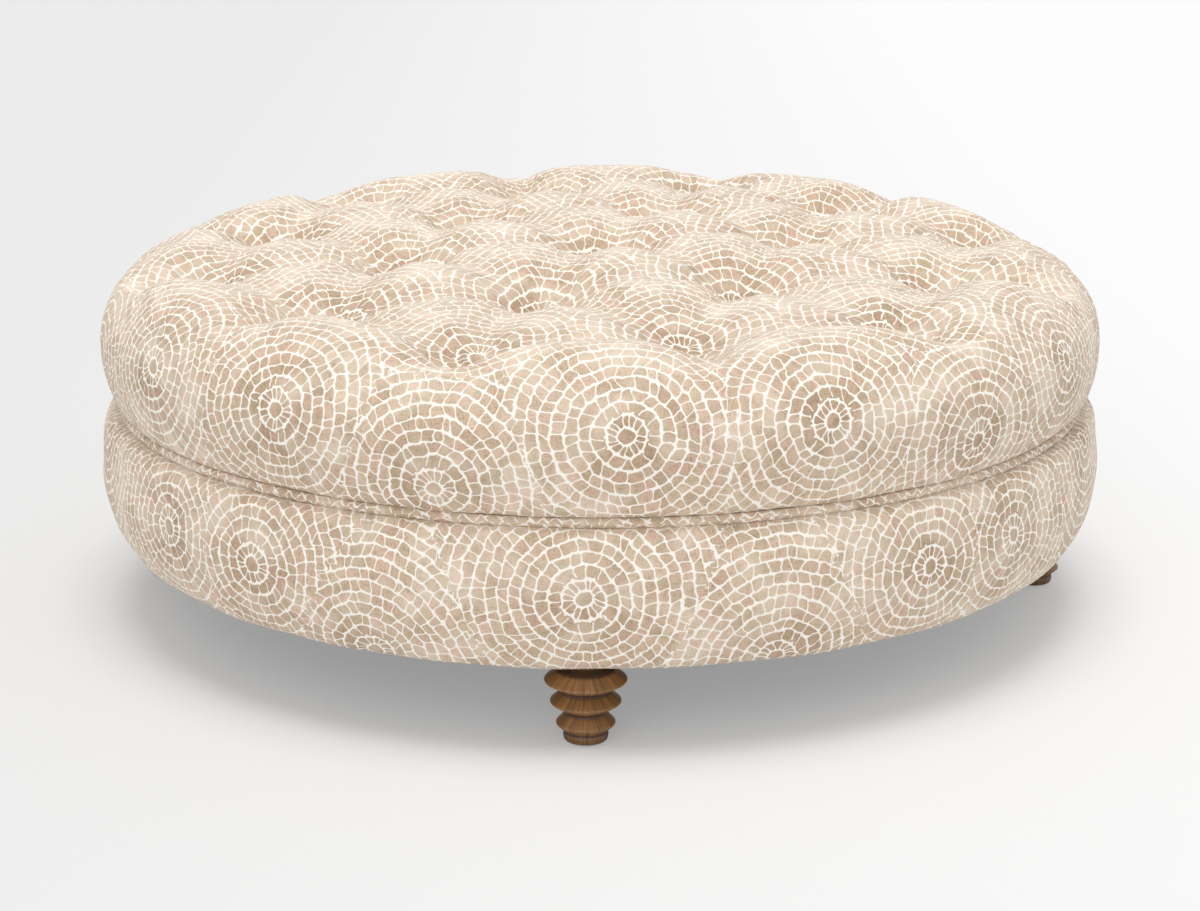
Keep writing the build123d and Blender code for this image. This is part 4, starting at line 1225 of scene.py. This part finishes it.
# Moulded nylon: milky, a little glossy, scuffed where it slides
SCUFF_SCALE = 400.0
nylon, tree, shader, where = new_material("nylon, moulded")
scuff = add(tree, "TexNoise", in_Vector=where, in_Scale=SCUFF_SCALE, in_Detail=2.0)
tone = ramp(tree, scuff, (0.4, "#dcdad2"), (0.7, "#c8c5bb"))
rub = add(tree, "MapRange", scuff, 0.3, 0.7, 0.3, 0.5)
feed(tree, shader, Base_Color=tone, Roughness=rub)

# The new pieces: their finishes, their slots in the record, and the solids they stand for
for piece in (tufted_top, apron, seam_welt, buttons):
    piece.data.materials.append(linen)
    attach(piece, "root")
dust_cloth.data.materials.append(dust)
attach(dust_cloth, "root")
turned_feet.data.materials.append(beech)
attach(turned_feet, "root")
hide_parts("seat_cover", "seat_foam")
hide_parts("apron_cover", "apron_padding")
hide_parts("seam_welt")
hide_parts("tuft_buttons")
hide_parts("dust_cover")
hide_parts("feet")

# The solids that stay: wood and board by name, and steel for the fixings. The covers and
# foams that the top and the apron stand for keep their own
finishes = {
    "foot_glides": nylon,
    "apron_panel": hardboard,
    "tufting_twine": twine,
    "base_ring": plywood,
    "waist_ring": plywood,
    "tufting_deck": plywood,
    "deck_rail_front": pine,
    "deck_rail_rear": pine,
}
for name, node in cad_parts.items():
    if name in ("seat_cover", "seat_foam", "apron_cover", "apron_padding"):
        continue
    finish = finishes.get(name, steel)
    if name.startswith(("post_", "foot_block")) and name != "post_screws":
        finish = pine
    for slot in node.material_slots:
        slot.link = "OBJECT"
        slot.material = finish

# Studio: a pale floor that runs on past the view, painted paler to the right as a gradient of light,
# which the camera sees with a glow of its own, so that it is nearly white but keeps the shadow
FLOOR_FALL = 1.0
FLOOR_GLOW = 0.31
FLOOR_SHARE = 0.85
FLOOR_REACH = 40.0
floor_paint, tree, shader, where = new_material("studio floor, matt white")
across = add(tree, "SeparateXYZ", where)
# painted light: the floor's colour grows paler from left to right
fall = add(tree, "MapRange", across, -FLOOR_FALL, FLOOR_FALL, 0.0, 1.0)
tone = ramp(tree, fall, (0.0, "#ececec"), (0.5, "#f5f5f5"), (1.0, "#fdfdfd"))
paint = add(tree, "VectorMath SCALE", tone, in_Scale=FLOOR_SHARE)
glow = add(tree, "Emission", tone, 1.0)
seen = add(tree, "LightPath", get="Is Camera Ray")
seen = add(tree, "Math MULTIPLY", seen, FLOOR_GLOW)
both = add(tree, "MixShader", seen, shader.outputs[0], glow)
feed(tree, tree.nodes["Material Output"], both)
feed(tree, shader, Base_Color=paint, Roughness=0.9, Specular_IOR_Level=0.0)
floor_mesh = bpy.data.meshes.new("studio_floor")
corners = [(x * FLOOR_REACH, y * FLOOR_REACH, 0) for x, y in ((-1, -1), (1, -1), (1, 1), (-1, 1))]
floor_mesh.from_pydata(corners, [], [(0, 1, 2, 3)])
floor_mesh.materials.append(floor_paint)
studio_floor = bpy.data.objects.new("studio_floor", floor_mesh)
bpy.context.scene.collection.objects.link(studio_floor)

# The sky lights the object softly, and the camera and gloss see it pale grey
SKY_STRENGTH = 0.6
world = bpy.data.worlds.new("soft sky")
world.use_nodes = True
tree = world.node_tree
tree.nodes.clear()
sky = add(tree, "Background", colour("#ffffff"), SKY_STRENGTH)
seen = add(tree, "Background", colour("#f8f8f8"), 1.0)
path = add(tree, "LightPath", get=None)
straight = add(tree, "Math MAXIMUM", path.outputs["Is Camera Ray"], path.outputs["Is Glossy Ray"])
choose = add(tree, "MixShader", straight, sky, seen)
add(tree, "OutputWorld", choose, get=None)
bpy.context.scene.world = world


def soft_sun(name, strength, spread, tilt, turn):
    """A broad sun from straight above, tilted to the front and turned about the middle,
    with its spread, tilt and turn in degrees."""
    data = bpy.data.lights.new(name, "SUN")
    data.energy = strength
    data.angle = math.radians(spread)
    lamp = bpy.data.objects.new(name, data)
    lamp.rotation_euler = (math.radians(tilt), 0, math.radians(turn))
    bpy.context.scene.collection.objects.link(lamp)


soft_sun("overhead light", strength=1.55, spread=30, tilt=4, turn=0)
soft_sun("front light", strength=0.85, spread=60, tilt=74, turn=-14)

# The camera stands in front and looks down on the middle
CAMERA_LENS = 81.0
CAMERA_PLACE = (0, -3.2473, 1.0935)
CAMERA_DROP = math.radians(16.015)
camera_data = bpy.data.cameras.new("photo angle")
camera_data.lens = CAMERA_LENS
camera = bpy.data.objects.new("photo angle", camera_data)
camera.location = CAMERA_PLACE
camera.rotation_euler = (TURN / 4 - CAMERA_DROP, 0, 0)
bpy.context.scene.collection.objects.link(camera)
bpy.context.scene.camera = camera
bpy.context.scene.view_settings.view_transform = "Standard"
